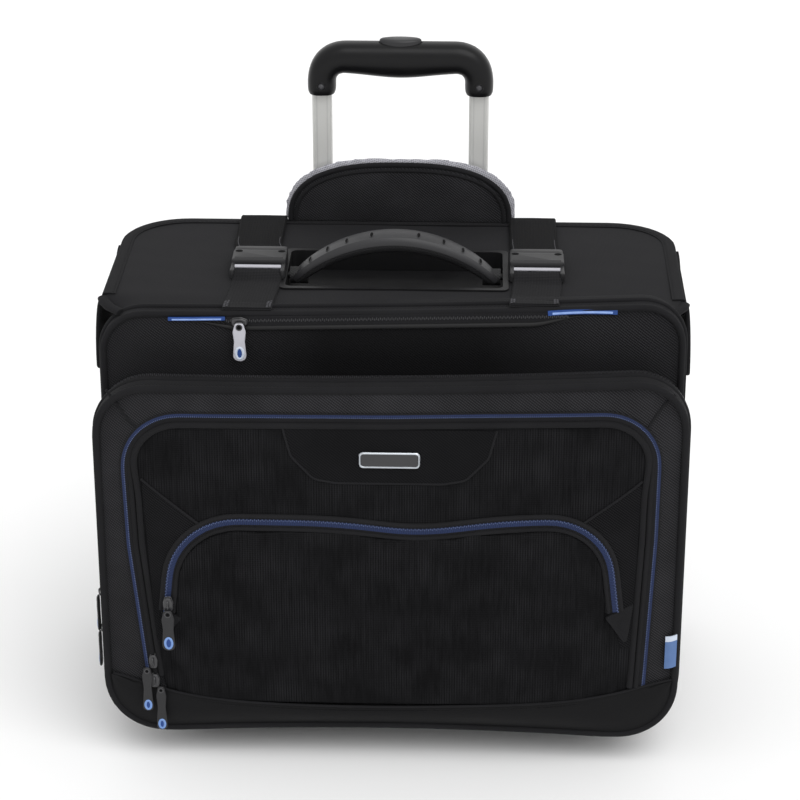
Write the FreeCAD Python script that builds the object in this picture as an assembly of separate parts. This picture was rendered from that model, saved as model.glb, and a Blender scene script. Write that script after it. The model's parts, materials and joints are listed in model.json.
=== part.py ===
"""Pilot rolling flight case: fabric case on two wheels with a telescopic handle.

Millimetres. +Z is up, the front of the case faces -Y, and the origin is on the
floor under the centre of the case.
"""
import FreeCAD, Part
import os
from math import atan2, cos, pi, sin, tan

V = FreeCAD.Vector

# ---------------------------------------------------------------- driving dimensions
GAP = 0.3                     # running gap between neighbouring pieces

BODY_BOTTOM = 26.0            # underside of the fabric body
SHELL_HALF_WIDTH = 213.0      # main compartment
SHELL_TOP = 359.5
SHELL_FRONT = -63.0
SHELL_BACK = 108.0
SHELL_WALL = 3.5
SHELL_REAR_CORNER = 46.0
SHELL_BASE_CORNER = 38.0

FRONT_HALF_WIDTH = 219.0      # upper front pocket
FRONT_TOP = 366.0
FRONT_FACE = -91.5
FRONT_WALL = 3.5
FRONT_CORNER = 34.0
FRONT_ZIP_Z = 357.0           # height at the zip's left end
FRONT_ZIP_LEFT = -124.0
FRONT_ZIP_RIGHT = 116.0
FRONT_ZIP_RISE = 6.0          # how much higher its right end is
ZIP_STRIP_END = 168.0

ORGANISER_HALF_WIDTH = 224.0  # the hinged front compartment
ORGANISER_TOP = 320.0
ORGANISER_BOTTOM = 26.5
ORGANISER_BACK = -92.0
ORGANISER_FACE = -132.0
ORGANISER_WALL = 4.0
ORGANISER_TOP_CORNER = 42.0
ORGANISER_BOTTOM_CORNER = 46.0

POCKET_FACE = -139.0          # large pocket on the organiser
POCKET_TOP = 292.0
POCKET_BOTTOM = 58.0
POCKET_HALF_TOP = 189.0
POCKET_HALF_BOTTOM = 179.0
POCKET_CORNER = 42.0
LOWER_FACE = -144.5           # small pocket on the large pocket
LOWER_TOP = 208.0
LOWER_HALF_TOP = 160.0
LOWER_HALF_BOTTOM = 174.0
LOWER_CORNER = 36.0
TAPE_WIDTH = 8.0              # visible zip tape beside a pocket panel
TAPE = 2.0

LID_BOTTOM = 360.0
LID_TOP = 364.0
LID_HALF_WIDTH = 222.0
LID_CREASE = -60.0            # the lid folds along this line
LID_BACK = 110.0
LID_BACK_CORNER = 52.0
BINDING = 2.0
WING_DROP = 62.0
WING_THICK = 2.4

TRAY_HALF_WIDTH = 86.0        # recess for the carry handle
TRAY_FRONT = -43.0
TRAY_BACK = 39.0
TRAY_FLOOR = 347.0
TRAY_WALL = 2.0
TRAY_FLANGE = 2.0
HANDLE_Y = -3.0
HANDLE_PIVOT_Z = 360.0
HANDLE_APEX = 396.0
HANDLE_DEPTH = 26.0
HANDLE_THICK = 14.0
HANDLE_HALF_SPAN = 82.0
KNUCKLE_R = 8.0
PIVOT_R = 2.5

TONGUE_HALF_WIDTH = 91.5
TONGUE_HEIGHT = 50.0
TONGUE_BASE_Z = LID_TOP + 1.4
TONGUE_FRONT = 103.0
TONGUE_SPLIT = 107.5
TONGUE_BACK = 112.5

STRAP_X = 111.0
STRAP_WIDTH = 38.0
WEB = 1.8                     # webbing thickness
BUCKLE_WIDTH = 45.0
SOCKET_FRONT = -25.0
SOCKET_BACK = 12.0
SOCKET_THROAT = -7.0
PLUG_BACK = 34.0
BUCKLE_BOTTOM = LID_TOP + 1.3
BUCKLE_TOP = LID_TOP + 11.5
STRAP_TAIL_FRONT = -85.0
STRAP_TAIL_BACK = -70.0
REAR_TAIL_BOTTOM = 318.0

TUBE_X = 63.5
TUBE_Y = 126.0
TUBE_CORNER = 2.5
OUTER_TUBE = (22.0, 17.0)
MID_TUBE = (19.0, 14.0)
INNER_TUBE = (16.0, 11.0)
TUBE_WALL = 1.2
TUBE_BASE = 27.0
BEZEL_BOTTOM = 315.0
BEZEL_TOP = 319.0
INNER_BASE = 179.0
INNER_TOP = 487.0
COVER_HALF_WIDTH = 88.0
COVER_BACK = 146.0
COVER_BOTTOM = 40.0

GRIP_BOTTOM = 469.0
GRIP_TOP = 509.0
GRIP_HALF_WIDTH = 75.0
GRIP_DEPTH = 26.0
GRIP_CUP = 23.0
GRIP_BAR_BOTTOM = 486.0
GRIP_SCREW_Z = 477.0
BUTTON_HALF_WIDTH = 17.0
BUTTON_RISE = 2.5
BUTTON_TRAVEL = 4.0

WHEEL_R = 31.0
WHEEL_WIDTH = 22.0
WHEEL_X = 198.0
WHEEL_Y = 97.0
AXLE_R = 3.0
HUB_R = 22.0
BRACKET_BOTTOM = 21.5
FOOT_X = 150.0
FOOT_Y = -62.0
FOOT_SCREW_X = 13.0

SLIDER = (7.0, 3.0, 12.0)     # width, depth, length
PULLER_WIDTH = 11.0
PULLER_THICK = 1.6
PULLER_STANDOFF = 1.7


# ---------------------------------------------------------------- geometry helpers
def lift(plane, u, v, w=0.0):
    """A point of a drawing plane, with w along the plane's normal."""
    return {"xz": V(u, w, v), "xy": V(u, v, w), "yz": V(w, u, v)}[plane]


def rounded_wire(plane, corners):
    """A closed wire through (u, v, radius) corners, with tangent arcs at the corners."""
    ends = []
    for i, (u, v, r) in enumerate(corners):
        before, after = corners[i - 1], corners[(i + 1) % len(corners)]
        a = V(before[0] - u, before[1] - v, 0).normalize()
        b = V(after[0] - u, after[1] - v, 0).normalize()
        half = a.getAngle(b) / 2
        reach = r / tan(half) if r else 0.0
        corner = V(u, v, 0)
        middle = corner + (a + b).normalize() * (r / sin(half) - r) if r else corner
        ends.append((corner + a * reach, middle, corner + b * reach, r))
    edges = []
    for i, (start, middle, end, r) in enumerate(ends):
        points = [lift(plane, p.x, p.y) for p in (start, middle, end)]
        if r:
            edges.append(Part.Arc(*points).toShape())
        following = ends[(i + 1) % len(ends)][0]
        if (following - end).Length > 1e-6:
            edges.append(Part.LineSegment(points[2], lift(plane, following.x, following.y)).toShape())
    return Part.Wire(edges)


def prism(plane, corners, low, high):
    """The rounded outline, extruded along its plane's normal from low to high."""
    face = Part.Face(rounded_wire(plane, corners))
    face.translate(lift(plane, 0, 0, low))
    return face.extrude(lift(plane, 0, 0, high - low))


def rectangle(half_width, low, high, low_radius, high_radius, centre=0.0):
    return [
        (centre - half_width, low, low_radius),
        (centre + half_width, low, low_radius),
        (centre + half_width, high, high_radius),
        (centre - half_width, high, high_radius),
    ]


def box(x0, x1, y0, y1, z0, z1):
    return Part.makeBox(x1 - x0, y1 - y0, z1 - z0, V(x0, y0, z0))


def rod(radius, start, end):
    axis = end - start
    return Part.makeCylinder(radius, axis.Length, start, axis)


def mirrored(shape):
    return shape.mirror(V(0, 0, 0), V(1, 0, 0))


def export(name, *solids):
    shape = solids[0] if len(solids) == 1 else Part.makeCompound(list(solids))
    shape.exportStep("parts/" + name + ".step")


# ---------------------------------------------------------------- the case
def housing_box(grow=0.0):
    """The corner block round a wheel; grow widens it into a notch that clears it."""
    past = 8 * grow
    return box(178 - grow, 216 + past, 57 - grow, 113 + past, BODY_BOTTOM - past, 70 + grow)


def body_block(inset, top):
    """The main compartment's block: rounded rear corners and rounded lower side edges."""
    hw = SHELL_HALF_WIDTH - inset
    front, back, bottom = SHELL_FRONT + inset, SHELL_BACK - inset, BODY_BOTTOM + inset
    rear, base = SHELL_REAR_CORNER - inset, SHELL_BASE_CORNER - inset
    plan = [(-hw, front, 0), (hw, front, 0), (hw, back, rear), (-hw, back, rear)]
    elevation = rectangle(hw, bottom, top, base, 0)
    return prism("xy", plan, bottom, top).common(prism("xz", elevation, front, back))


def main_shell():
    shell = body_block(0.0, SHELL_TOP).cut(body_block(SHELL_WALL, SHELL_TOP + 5))
    notch = housing_box(grow=GAP)
    export("main_shell", shell.cut(notch).cut(mirrored(notch)))


def bottom_board():
    thickness = 3.0
    base = BODY_BOTTOM + SHELL_WALL + GAP
    export("bottom_board", box(-170, 170, SHELL_FRONT + 5, SHELL_BACK - 5, base, base + thickness))


def along_front_zip(shape):
    """Tips a level shape to the slope of the front zip, about the zip's left end."""
    slope = atan2(FRONT_ZIP_RISE, FRONT_ZIP_RIGHT - FRONT_ZIP_LEFT) * 180 / pi
    shape.rotate(V(FRONT_ZIP_LEFT, 0, FRONT_ZIP_Z), V(0, 1, 0), -slope)
    return shape


def front_pocket_shell():
    """Shallow box in front of the main compartment, open at the back, with a slit for its zip."""
    back = SHELL_FRONT - GAP
    outer = prism("xz", rectangle(FRONT_HALF_WIDTH, BODY_BOTTOM, FRONT_TOP, SHELL_BASE_CORNER, FRONT_CORNER),
                  FRONT_FACE, back)
    wall = FRONT_WALL
    inner = prism("xz", rectangle(FRONT_HALF_WIDTH - wall, BODY_BOTTOM + wall, FRONT_TOP - wall,
                                  SHELL_BASE_CORNER - wall, FRONT_CORNER - wall), FRONT_FACE + wall, back + 1)
    slit = along_front_zip(box(FRONT_ZIP_LEFT + 4, FRONT_ZIP_RIGHT - 4, FRONT_FACE - 1, FRONT_FACE + wall + 1,
                               FRONT_ZIP_Z - 2, FRONT_ZIP_Z + 2))
    export("front_pocket_shell", outer.cut(inner).cut(slit))


def front_zip():
    """Zip tape with its coil, and the two coloured strips that run on from its ends."""
    back = FRONT_FACE - GAP
    tape = box(FRONT_ZIP_LEFT, FRONT_ZIP_RIGHT, back - 1.0, back, FRONT_ZIP_Z - 5, FRONT_ZIP_Z + 3)
    coil = box(FRONT_ZIP_LEFT, FRONT_ZIP_RIGHT, back - 1.8, back - 1.0, FRONT_ZIP_Z - 1.6, FRONT_ZIP_Z + 1.6)
    right = box(FRONT_ZIP_RIGHT + GAP, ZIP_STRIP_END, back - 1.6, back, FRONT_ZIP_Z - 2, FRONT_ZIP_Z + 1)
    left = box(-ZIP_STRIP_END, FRONT_ZIP_LEFT - GAP, back - 1.6, back, FRONT_ZIP_Z - 2, FRONT_ZIP_Z + 1)
    export("front_zip", *[along_front_zip(piece) for piece in (tape.fuse(coil), right, left)])


def back_channel(inset, low, high):
    """The outline of the padded channel behind the case, between two heights."""
    half, back, radius = COVER_HALF_WIDTH - inset, COVER_BACK - inset, 12 - inset
    front = SHELL_BACK + GAP
    return prism("xy", [(-half, front, 0), (half, front, 0), (half, back, radius), (-half, back, radius)],
                 low, high)


def base_bracket():
    """Moulded plate under the back of the case, with a heel behind it that holds the tubes."""
    under = box(-177, 177, 67, SHELL_BACK + GAP, BRACKET_BOTTOM, BODY_BOTTOM - GAP)
    heel = back_channel(0, BRACKET_BOTTOM, COVER_BOTTOM)
    bracket = under.fuse(heel).removeSplitter()
    for side in (-1, 1):
        socket = prism("xy", tube_section(OUTER_TUBE, 0.05, side * TUBE_X), TUBE_BASE, COVER_BOTTOM + 1)
        bracket = bracket.cut(socket)
    export("base_bracket", bracket)


def back_cover():
    """Padded channel behind the case that hides the handle tubes."""
    outer = back_channel(0, COVER_BOTTOM + GAP, BEZEL_BOTTOM - GAP)
    export("back_cover", outer.cut(back_channel(3.0, COVER_BOTTOM - 1, BEZEL_BOTTOM + 1)))


def tube_section(size, grow=0.0, centre_x=TUBE_X):
    """Corners of one tube's outline in plan, grown outwards by grow."""
    hw, hd = size[0] / 2 + grow, size[1] / 2 + grow
    radius = max(TUBE_CORNER + grow, 0.8)
    return [(centre_x - hw, TUBE_Y - hd, radius), (centre_x + hw, TUBE_Y - hd, radius),
            (centre_x + hw, TUBE_Y + hd, radius), (centre_x - hw, TUBE_Y + hd, radius)]


def tube(size, low, high):
    outside = prism("xy", tube_section(size), low, high)
    return outside.cut(prism("xy", tube_section(size, -TUBE_WALL), low - 1, high + 1))


def outer_tubes():
    one = tube(OUTER_TUBE, TUBE_BASE + GAP, BEZEL_TOP)
    export("outer_tubes", one, mirrored(one))


def handle_bezel():
    plate = back_channel(0, BEZEL_BOTTOM, BEZEL_TOP - 0.5)
    for side in (-1, 1):
        section = tube_section(OUTER_TUBE, 0.05, side * TUBE_X)
        plate = plate.cut(prism("xy", section, BEZEL_BOTTOM - 1, BEZEL_TOP + 1))
    export("handle_bezel", plate)


def wheel_housings():
    well = box(WHEEL_X - 14, WHEEL_X + 14, 62, 130, 10, 66)
    lip = rod(9.0, V(178, WHEEL_Y, WHEEL_R), V(216, WHEEL_Y, WHEEL_R))
    housing = housing_box().fuse(lip).cut(well)
    housing = housing.cut(rod(AXLE_R, V(170, WHEEL_Y, WHEEL_R), V(220, WHEEL_Y, WHEEL_R)))
    export("wheel_housing_right", housing)
    export("wheel_housing_left", mirrored(housing))


def wheel_axles():
    pin = rod(AXLE_R, V(178, WHEEL_Y, WHEEL_R), V(216, WHEEL_Y, WHEEL_R))
    head = rod(5.0, V(216, WHEEL_Y, WHEEL_R), V(218, WHEEL_Y, WHEEL_R))
    axle = pin.fuse(head)
    export("wheel_axles", axle, mirrored(axle))


def wheels():
    def disc(radius, width):
        return rod(radius, V(WHEEL_X - width / 2, WHEEL_Y, WHEEL_R), V(WHEEL_X + width / 2, WHEEL_Y, WHEEL_R))
    tyre = disc(WHEEL_R, WHEEL_WIDTH)
    rims = [e for e in tyre.Edges if e.Closed and abs(e.Curve.Radius - WHEEL_R) < 1e-6]
    tyre = tyre.makeFillet(4.0, rims).cut(disc(HUB_R, WHEEL_WIDTH + 2))
    dish = disc(HUB_R - 3, WHEEL_WIDTH - 6)
    dishes = disc(HUB_R - 3, WHEEL_WIDTH + 2).cut(dish)
    boss = disc(6.5, WHEEL_WIDTH + 3)
    hub = disc(HUB_R, WHEEL_WIDTH - 1).cut(dishes).fuse(boss).cut(disc(AXLE_R + GAP, WHEEL_WIDTH + 8))
    export("tyre_right", tyre)
    export("tyre_left", mirrored(tyre))
    export("hub_right", hub)
    export("hub_left", mirrored(hub))


def front_feet():
    height = BODY_BOTTOM - GAP
    block = prism("xz", [(FOOT_X - 20, 0, 3), (FOOT_X + 20, 0, 3), (FOOT_X + 26, height, 1), (FOOT_X - 26, height, 1)],
                  FOOT_Y - 12, FOOT_Y + 12)
    for dx in (-FOOT_SCREW_X, FOOT_SCREW_X):
        block = block.cut(rod(3.6, V(FOOT_X + dx, FOOT_Y, -1), V(FOOT_X + dx, FOOT_Y, 6)))
    export("front_feet", block, mirrored(block))


def base_screws():
    """Pan-head screws: two in each foot, three along the base bracket each side."""
    screws = []
    for x in (FOOT_X - FOOT_SCREW_X, FOOT_X + FOOT_SCREW_X):
        screws.append(rod(3.3, V(x, FOOT_Y, 3.6), V(x, FOOT_Y, 6)))
    for x in (30, 90, 150):
        screws.append(rod(3.6, V(x, 90, BRACKET_BOTTOM - 1.6), V(x, 90, BRACKET_BOTTOM)))
    export("base_screws", *screws, *[mirrored(s) for s in screws])


def strap_anchors():
    """Webbing patches sewn to the back of the case under the rear straps."""
    patch = box(STRAP_X - 22, STRAP_X + 22, SHELL_BACK + GAP, SHELL_BACK + GAP + 1.4, 280, 340)
    export("strap_anchors", patch, mirrored(patch))


# ---------------------------------------------------------------- the organiser compartment
def organiser_outline(shrink=0.0):
    return rectangle(ORGANISER_HALF_WIDTH - shrink, ORGANISER_BOTTOM + shrink, ORGANISER_TOP - shrink,
                     ORGANISER_BOTTOM_CORNER - shrink, ORGANISER_TOP_CORNER - shrink)


def organiser_shell():
    outer = prism("xz", organiser_outline(), ORGANISER_FACE, ORGANISER_BACK)
    inner = prism("xz", organiser_outline(ORGANISER_WALL), ORGANISER_FACE + ORGANISER_WALL, ORGANISER_BACK + 1)
    export("organiser_shell", outer.cut(inner))


def organiser_zip():
    """Zip tape round the sides and top of the organiser, just in front of the case."""
    low = ORGANISER_BOTTOM + ORGANISER_BOTTOM_CORNER + 12
    band = prism("xz", organiser_outline(-1.6), ORGANISER_BACK - 8, ORGANISER_BACK)
    band = band.cut(prism("xz", organiser_outline(-0.1), ORGANISER_BACK - 9, ORGANISER_BACK + 1))
    export("organiser_zip", band.cut(box(-260, 260, -140, -80, 0, low)))


def arch(half_bottom, half_top, bottom, top, corner):
    """Corners of a pocket outline: straight foot, sloping sides and rounded shoulders."""
    return [(-half_bottom, bottom, 2), (half_bottom, bottom, 2), (half_top, top, corner), (-half_top, top, corner)]


def pocket_outline(grow=0.0):
    return arch(POCKET_HALF_BOTTOM + grow, POCKET_HALF_TOP + grow, POCKET_BOTTOM, POCKET_TOP + grow,
                POCKET_CORNER + grow)


def lower_outline(grow=0.0):
    return arch(LOWER_HALF_BOTTOM + grow, LOWER_HALF_TOP + grow, POCKET_BOTTOM + 2, LOWER_TOP + grow,
                LOWER_CORNER + grow)


def pockets():
    export("pocket_panel", prism("xz", pocket_outline(), POCKET_FACE, ORGANISER_FACE - GAP))
    export("lower_pocket_panel", prism("xz", lower_outline(), LOWER_FACE, POCKET_FACE - GAP))


def zip_band(outline, back, bottom):
    """A strip of zip tape round the outside of a pocket panel, above bottom."""
    front = back - TAPE
    band = prism("xz", outline(TAPE_WIDTH), front, back).cut(prism("xz", outline(0.4), front - 1, back + 1))
    return band.cut(box(-260, 260, front - 1, back + 1, 0, bottom))


def pocket_zips():
    export("pocket_zip", zip_band(pocket_outline, ORGANISER_FACE - GAP, 59))
    export("lower_pocket_zip", zip_band(lower_outline, POCKET_FACE - GAP, 130))


def badge():
    plate = prism("xz", rectangle(23, 259, 272, 3, 3), POCKET_FACE - GAP - 2.2, POCKET_FACE - GAP)
    export("badge", plate)


def side_tag():
    export("side_tag", box(212, 220, ORGANISER_FACE - 1.4, ORGANISER_FACE - GAP, 87, 115))


# ---------------------------------------------------------------- the lid and what rides on it
def lid_outline(grow=0.0):
    """The lid in plan: square along its crease, rounded at the back."""
    hw, front = LID_HALF_WIDTH + grow, LID_CREASE + GAP
    radius = LID_BACK_CORNER + grow
    return [(-hw, front, 0), (hw, front, 0), (hw, LID_BACK + grow, radius), (-hw, LID_BACK + grow, radius)]


def tray_outline(grow=0.0):
    hw = TRAY_HALF_WIDTH + grow
    front, back = TRAY_FRONT - grow, TRAY_BACK + grow
    return [(-hw, front, 5), (hw, front, 5), (hw, back, 5), (-hw, back, 5)]


def lid_panel():
    panel = prism("xy", lid_outline(-BINDING), LID_BOTTOM, LID_TOP)
    export("lid_panel", panel.cut(prism("xy", tray_outline(), LID_BOTTOM - 1, LID_TOP + 1)))


def lid_binding():
    """Bound edge round the sides and back of the lid."""
    ring = prism("xy", lid_outline(), LID_BOTTOM - 0.4, LID_TOP + 0.6)
    export("lid_binding", ring.cut(prism("xy", lid_outline(-BINDING), LID_BOTTOM - 2, LID_TOP + 2)))


def lid_wings():
    """Side flaps that hang from the lid outside the case."""
    inner = LID_HALF_WIDTH + GAP
    top = LID_TOP - 0.5
    low = top - WING_DROP
    outline = [(LID_CREASE + 1, top, 4), (LID_CREASE - 6, low, 10), (42, low, 24), (54, top, 4)]
    wing = prism("yz", outline, inner, inner + WING_THICK)
    export("lid_wings", wing, mirrored(wing))


def handle_tray():
    """Moulded recess with a flange, and a pin in each end wall for the carry handle."""
    flange = prism("xy", tray_outline(TRAY_FLANGE), LID_TOP + GAP, LID_TOP + 1.5)
    tub = prism("xy", tray_outline(-GAP), TRAY_FLOOR, LID_TOP + 1.5)
    hollow = prism("xy", tray_outline(-GAP - TRAY_WALL), TRAY_FLOOR + TRAY_WALL, LID_TOP + 3)
    pin = rod(PIVOT_R, V(TRAY_HALF_WIDTH - 8, HANDLE_Y, HANDLE_PIVOT_Z),
              V(TRAY_HALF_WIDTH - 1, HANDLE_Y, HANDLE_PIVOT_Z))
    export("handle_tray", flange.fuse(tub).cut(hollow).fuse(pin).fuse(mirrored(pin)).removeSplitter())


def circle_through(half_chord, low, high):
    """Radius and centre height of the arc from (-half_chord, low) over (0, high)."""
    rise = high - low
    radius = (half_chord ** 2 + rise ** 2) / (2 * rise)
    return radius, high - radius


def carry_handle():
    """Curved grip, thick in the middle, with a knuckle round each pivot."""
    foot = HANDLE_PIVOT_Z - 2.0
    outside_r, outside_z = circle_through(HANDLE_HALF_SPAN + 1, foot, HANDLE_APEX)
    inside_r, inside_z = circle_through(HANDLE_HALF_SPAN - 16, foot, HANDLE_APEX - HANDLE_THICK)
    y0, y1 = HANDLE_Y - HANDLE_DEPTH / 2, HANDLE_Y + HANDLE_DEPTH / 2
    outside = rod(outside_r, V(0, y0, outside_z), V(0, y1, outside_z))
    inside = rod(inside_r, V(0, y0 - 1, inside_z), V(0, y1 + 1, inside_z))
    window = box(-HANDLE_HALF_SPAN, HANDLE_HALF_SPAN, y0 - 2, y1 + 2, foot, HANDLE_APEX + 5)
    grip = outside.common(window).cut(inside)
    for side in (-1, 1):
        ear = rod(KNUCKLE_R, V(side * (HANDLE_HALF_SPAN - 14), HANDLE_Y, HANDLE_PIVOT_Z),
                  V(side * HANDLE_HALF_SPAN, HANDLE_Y, HANDLE_PIVOT_Z))
        corner = box(-20, 20, -20, 20, -20, 20)
        corner.translate(V(side * (HANDLE_HALF_SPAN - 4), HANDLE_Y, HANDLE_PIVOT_Z - 20 - 1))
        grip = grip.cut(corner).fuse(ear)
        bore = rod(PIVOT_R + 0.05, V(side * (TRAY_HALF_WIDTH - 9), HANDLE_Y, HANDLE_PIVOT_Z),
                   V(side * (TRAY_HALF_WIDTH + 2), HANDLE_Y, HANDLE_PIVOT_Z))
        grip = grip.cut(bore)
    export("carry_handle", grip.removeSplitter())


def tongue_outline(grow=0.0):
    """Half-round flap: a low arch with full shoulders."""
    hw, top = TONGUE_HALF_WIDTH + grow, TONGUE_BASE_Z + TONGUE_HEIGHT + grow
    return [(-hw, TONGUE_BASE_Z, 2), (hw, TONGUE_BASE_Z, 2), (hw - 8, top - 12, 30), (0.3 * hw, top, 60),
            (-0.3 * hw, top, 60), (8 - hw, top - 12, 30)]


def tongue():
    """The flap's front and its mesh back, bevelled at the foot so that it can lean back."""
    depth = TONGUE_BACK - TONGUE_FRONT
    foot = Part.Face(Part.makePolygon([V(-120, TONGUE_FRONT + 0.5, TONGUE_BASE_Z - 1),
                                       V(-120, TONGUE_BACK + 1, TONGUE_BASE_Z - 1),
                                       V(-120, TONGUE_BACK + 1, TONGUE_BASE_Z + depth),
                                       V(-120, TONGUE_FRONT + 0.5, TONGUE_BASE_Z - 1)]))
    bevel = foot.extrude(V(240, 0, 0))
    front = prism("xz", tongue_outline(), TONGUE_FRONT, TONGUE_SPLIT)
    lining = prism("xz", tongue_outline(-1.0), TONGUE_SPLIT + 0.05, TONGUE_BACK)
    export("tongue_flap", front.cut(bevel))
    export("tongue_lining", lining.cut(bevel))


def strap_ribbon(points, centre_x):
    """Webbing of constant thickness whose lower face follows (y, z, radius) points."""
    upper = []
    for i, (y, z, r) in enumerate(points):
        before = points[max(i - 1, 0)]
        after = points[min(i + 1, len(points) - 1)]
        a = atan2(z - before[1], y - before[0]) if i else atan2(after[1] - z, after[0] - y)
        b = atan2(after[1] - z, after[0] - y) if i < len(points) - 1 else a
        turn = (b - a + pi) % (2 * pi) - pi
        middle = a + turn / 2 + pi / 2
        reach = WEB / cos(turn / 2)
        upper.append((y + reach * cos(middle), z + reach * sin(middle), r + WEB if turn < 0 and r else r))
    outline = list(points) + upper[::-1]
    return prism("yz", outline, centre_x - STRAP_WIDTH / 2, centre_x + STRAP_WIDTH / 2)


def front_straps():
    """Webbing from the buckle socket to the lid's crease."""
    low = LID_TOP + GAP
    path = [(LID_CREASE + 5, low, 0), (SOCKET_FRONT - 14, low, 8), (SOCKET_FRONT - 3, low + 4, 4),
            (SOCKET_FRONT - GAP, low + 4.5, 0)]
    strap = strap_ribbon(path, STRAP_X)
    export("front_strap_right", strap)
    export("front_strap_left", mirrored(strap))


def strap_tails():
    """The ends of the front straps, on the front pocket's top, with a folded hem."""
    low = FRONT_TOP + GAP
    x0, x1 = STRAP_X - STRAP_WIDTH / 2, STRAP_X + STRAP_WIDTH / 2
    tail = box(x0, x1, STRAP_TAIL_FRONT, STRAP_TAIL_BACK, low, low + WEB)
    hem = box(x0, x1, STRAP_TAIL_FRONT, STRAP_TAIL_FRONT + 12, low + WEB, low + 2 * WEB)
    tail = tail.fuse(hem).removeSplitter()
    export("strap_tails", tail, mirrored(tail))


def buckles():
    """Side-release buckles: sockets on the front straps and plugs on the rear straps."""
    half = BUCKLE_WIDTH / 2
    socket = prism("xy", rectangle(half, SOCKET_FRONT, SOCKET_BACK, 3, 1, STRAP_X), BUCKLE_BOTTOM, BUCKLE_TOP)
    cavity = box(STRAP_X - half + 3, STRAP_X + half - 3, SOCKET_THROAT, SOCKET_BACK + 1,
                 BUCKLE_BOTTOM + 2, BUCKLE_TOP - 2)
    strap_half = STRAP_WIDTH / 2 + 0.5
    slot = box(STRAP_X - strap_half, STRAP_X + strap_half, SOCKET_FRONT + 3, SOCKET_THROAT - 3,
               BUCKLE_BOTTOM - 1, BUCKLE_TOP + 1)
    socket = socket.cut(cavity).cut(slot)
    plug = prism("xy", rectangle(half, SOCKET_BACK + GAP, PLUG_BACK, 1, 3, STRAP_X),
                 BUCKLE_BOTTOM + 0.4, BUCKLE_TOP - 0.4)
    for x0, x1 in ((-18.5, -13.5), (-4, 4), (13.5, 18.5)):
        plug = plug.fuse(box(STRAP_X + x0, STRAP_X + x1, SOCKET_THROAT + 1, SOCKET_BACK + 2,
                             BUCKLE_BOTTOM + 2.4, BUCKLE_TOP - 2.4))
    export("buckle_socket_right", socket)
    export("buckle_socket_left", mirrored(socket))
    plug = plug.removeSplitter()
    export("buckle_plug_right", plug)
    export("buckle_plug_left", mirrored(plug))


def rear_straps():
    """Webbing from the plug, over the back edge of the lid and down the back of the case."""
    over = LID_TOP + 2.2
    down = LID_BACK + 1.2
    path = [(PLUG_BACK + GAP, over, 0), (down, over + 1.2, 3), (down, REAR_TAIL_BOTTOM, 0)]
    strap = strap_ribbon(path, STRAP_X)
    export("rear_strap_right", strap)
    export("rear_strap_left", mirrored(strap))


# ---------------------------------------------------------------- the telescopic handle
def mid_tubes():
    one = tube(MID_TUBE, TUBE_BASE + 3, BEZEL_TOP)
    export("mid_tubes", one, mirrored(one))


def inner_tubes():
    one = tube(INNER_TUBE, INNER_BASE, INNER_TOP)
    one = one.cut(rod(1.5, V(TUBE_X, TUBE_Y - 20, GRIP_SCREW_Z), V(TUBE_X, TUBE_Y, GRIP_SCREW_Z)))
    export("inner_tubes", one, mirrored(one))


def grip_body():
    """Moulded U-shaped grip with a socket for each tube and a channel for the release bar."""
    hw, cup = GRIP_HALF_WIDTH, GRIP_CUP
    outline = [(hw - cup, GRIP_BOTTOM, 2), (hw, GRIP_BOTTOM, 2), (hw, GRIP_TOP, 30), (-hw, GRIP_TOP, 30),
               (-hw, GRIP_BOTTOM, 2), (cup - hw, GRIP_BOTTOM, 2), (cup - hw, GRIP_BAR_BOTTOM, 8),
               (0, GRIP_BAR_BOTTOM - 3, 120), (hw - cup, GRIP_BAR_BOTTOM, 8)]
    y0, y1 = TUBE_Y - GRIP_DEPTH / 2, TUBE_Y + GRIP_DEPTH / 2
    solid = prism("xz", outline, y0, y1)
    long_edges = [e for e in solid.Edges
                  if abs(e.BoundBox.YLength) < 1e-6 and e.BoundBox.ZMax > GRIP_BOTTOM + 1]
    solid = solid.makeFillet(5.0, long_edges)
    for side in (-1, 1):
        x = side * TUBE_X
        solid = solid.cut(prism("xy", tube_section(INNER_TUBE, 0.02, x), GRIP_BOTTOM - 5, INNER_TOP))
        solid = solid.cut(rod(2.7, V(x, y0 - 1, GRIP_SCREW_Z), V(x, y0 + 2.5, GRIP_SCREW_Z)))
        solid = solid.cut(rod(1.5, V(x, y0 - 1, GRIP_SCREW_Z), V(x, TUBE_Y, GRIP_SCREW_Z)))
    half_well = BUTTON_HALF_WIDTH + GAP
    channel = box(-TUBE_X - 4, TUBE_X + 4, TUBE_Y - 4, TUBE_Y + 4, 492, 502)
    well = box(-half_well, half_well, TUBE_Y - 5.3, TUBE_Y + 5.3, 498 - BUTTON_TRAVEL, GRIP_TOP + 5)
    drop = rod(4.0, V(TUBE_X, TUBE_Y, INNER_TOP - 1), V(TUBE_X, TUBE_Y, 497))
    export("grip_body", solid.cut(channel).cut(well).cut(drop).cut(mirrored(drop)))


def grip_screws():
    front = TUBE_Y - GRIP_DEPTH / 2
    head = rod(2.6, V(TUBE_X, front + 0.4, GRIP_SCREW_Z), V(TUBE_X, front + 2.5, GRIP_SCREW_Z))
    shank = rod(1.45, V(TUBE_X, front + 2.5, GRIP_SCREW_Z), V(TUBE_X, TUBE_Y - 2.6, GRIP_SCREW_Z))
    screw = head.fuse(shank)
    export("grip_screws", screw, mirrored(screw))


def release_button():
    """Button cap with the bar that runs along inside the grip."""
    cap = prism("xy", rectangle(BUTTON_HALF_WIDTH, TUBE_Y - 5, TUBE_Y + 5, 4, 4), 499, GRIP_TOP + BUTTON_RISE)
    bar = box(-TUBE_X - 3, TUBE_X + 3, TUBE_Y - 3, TUBE_Y + 3, 497, 501)
    export("release_button", cap.fuse(bar).removeSplitter())


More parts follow.
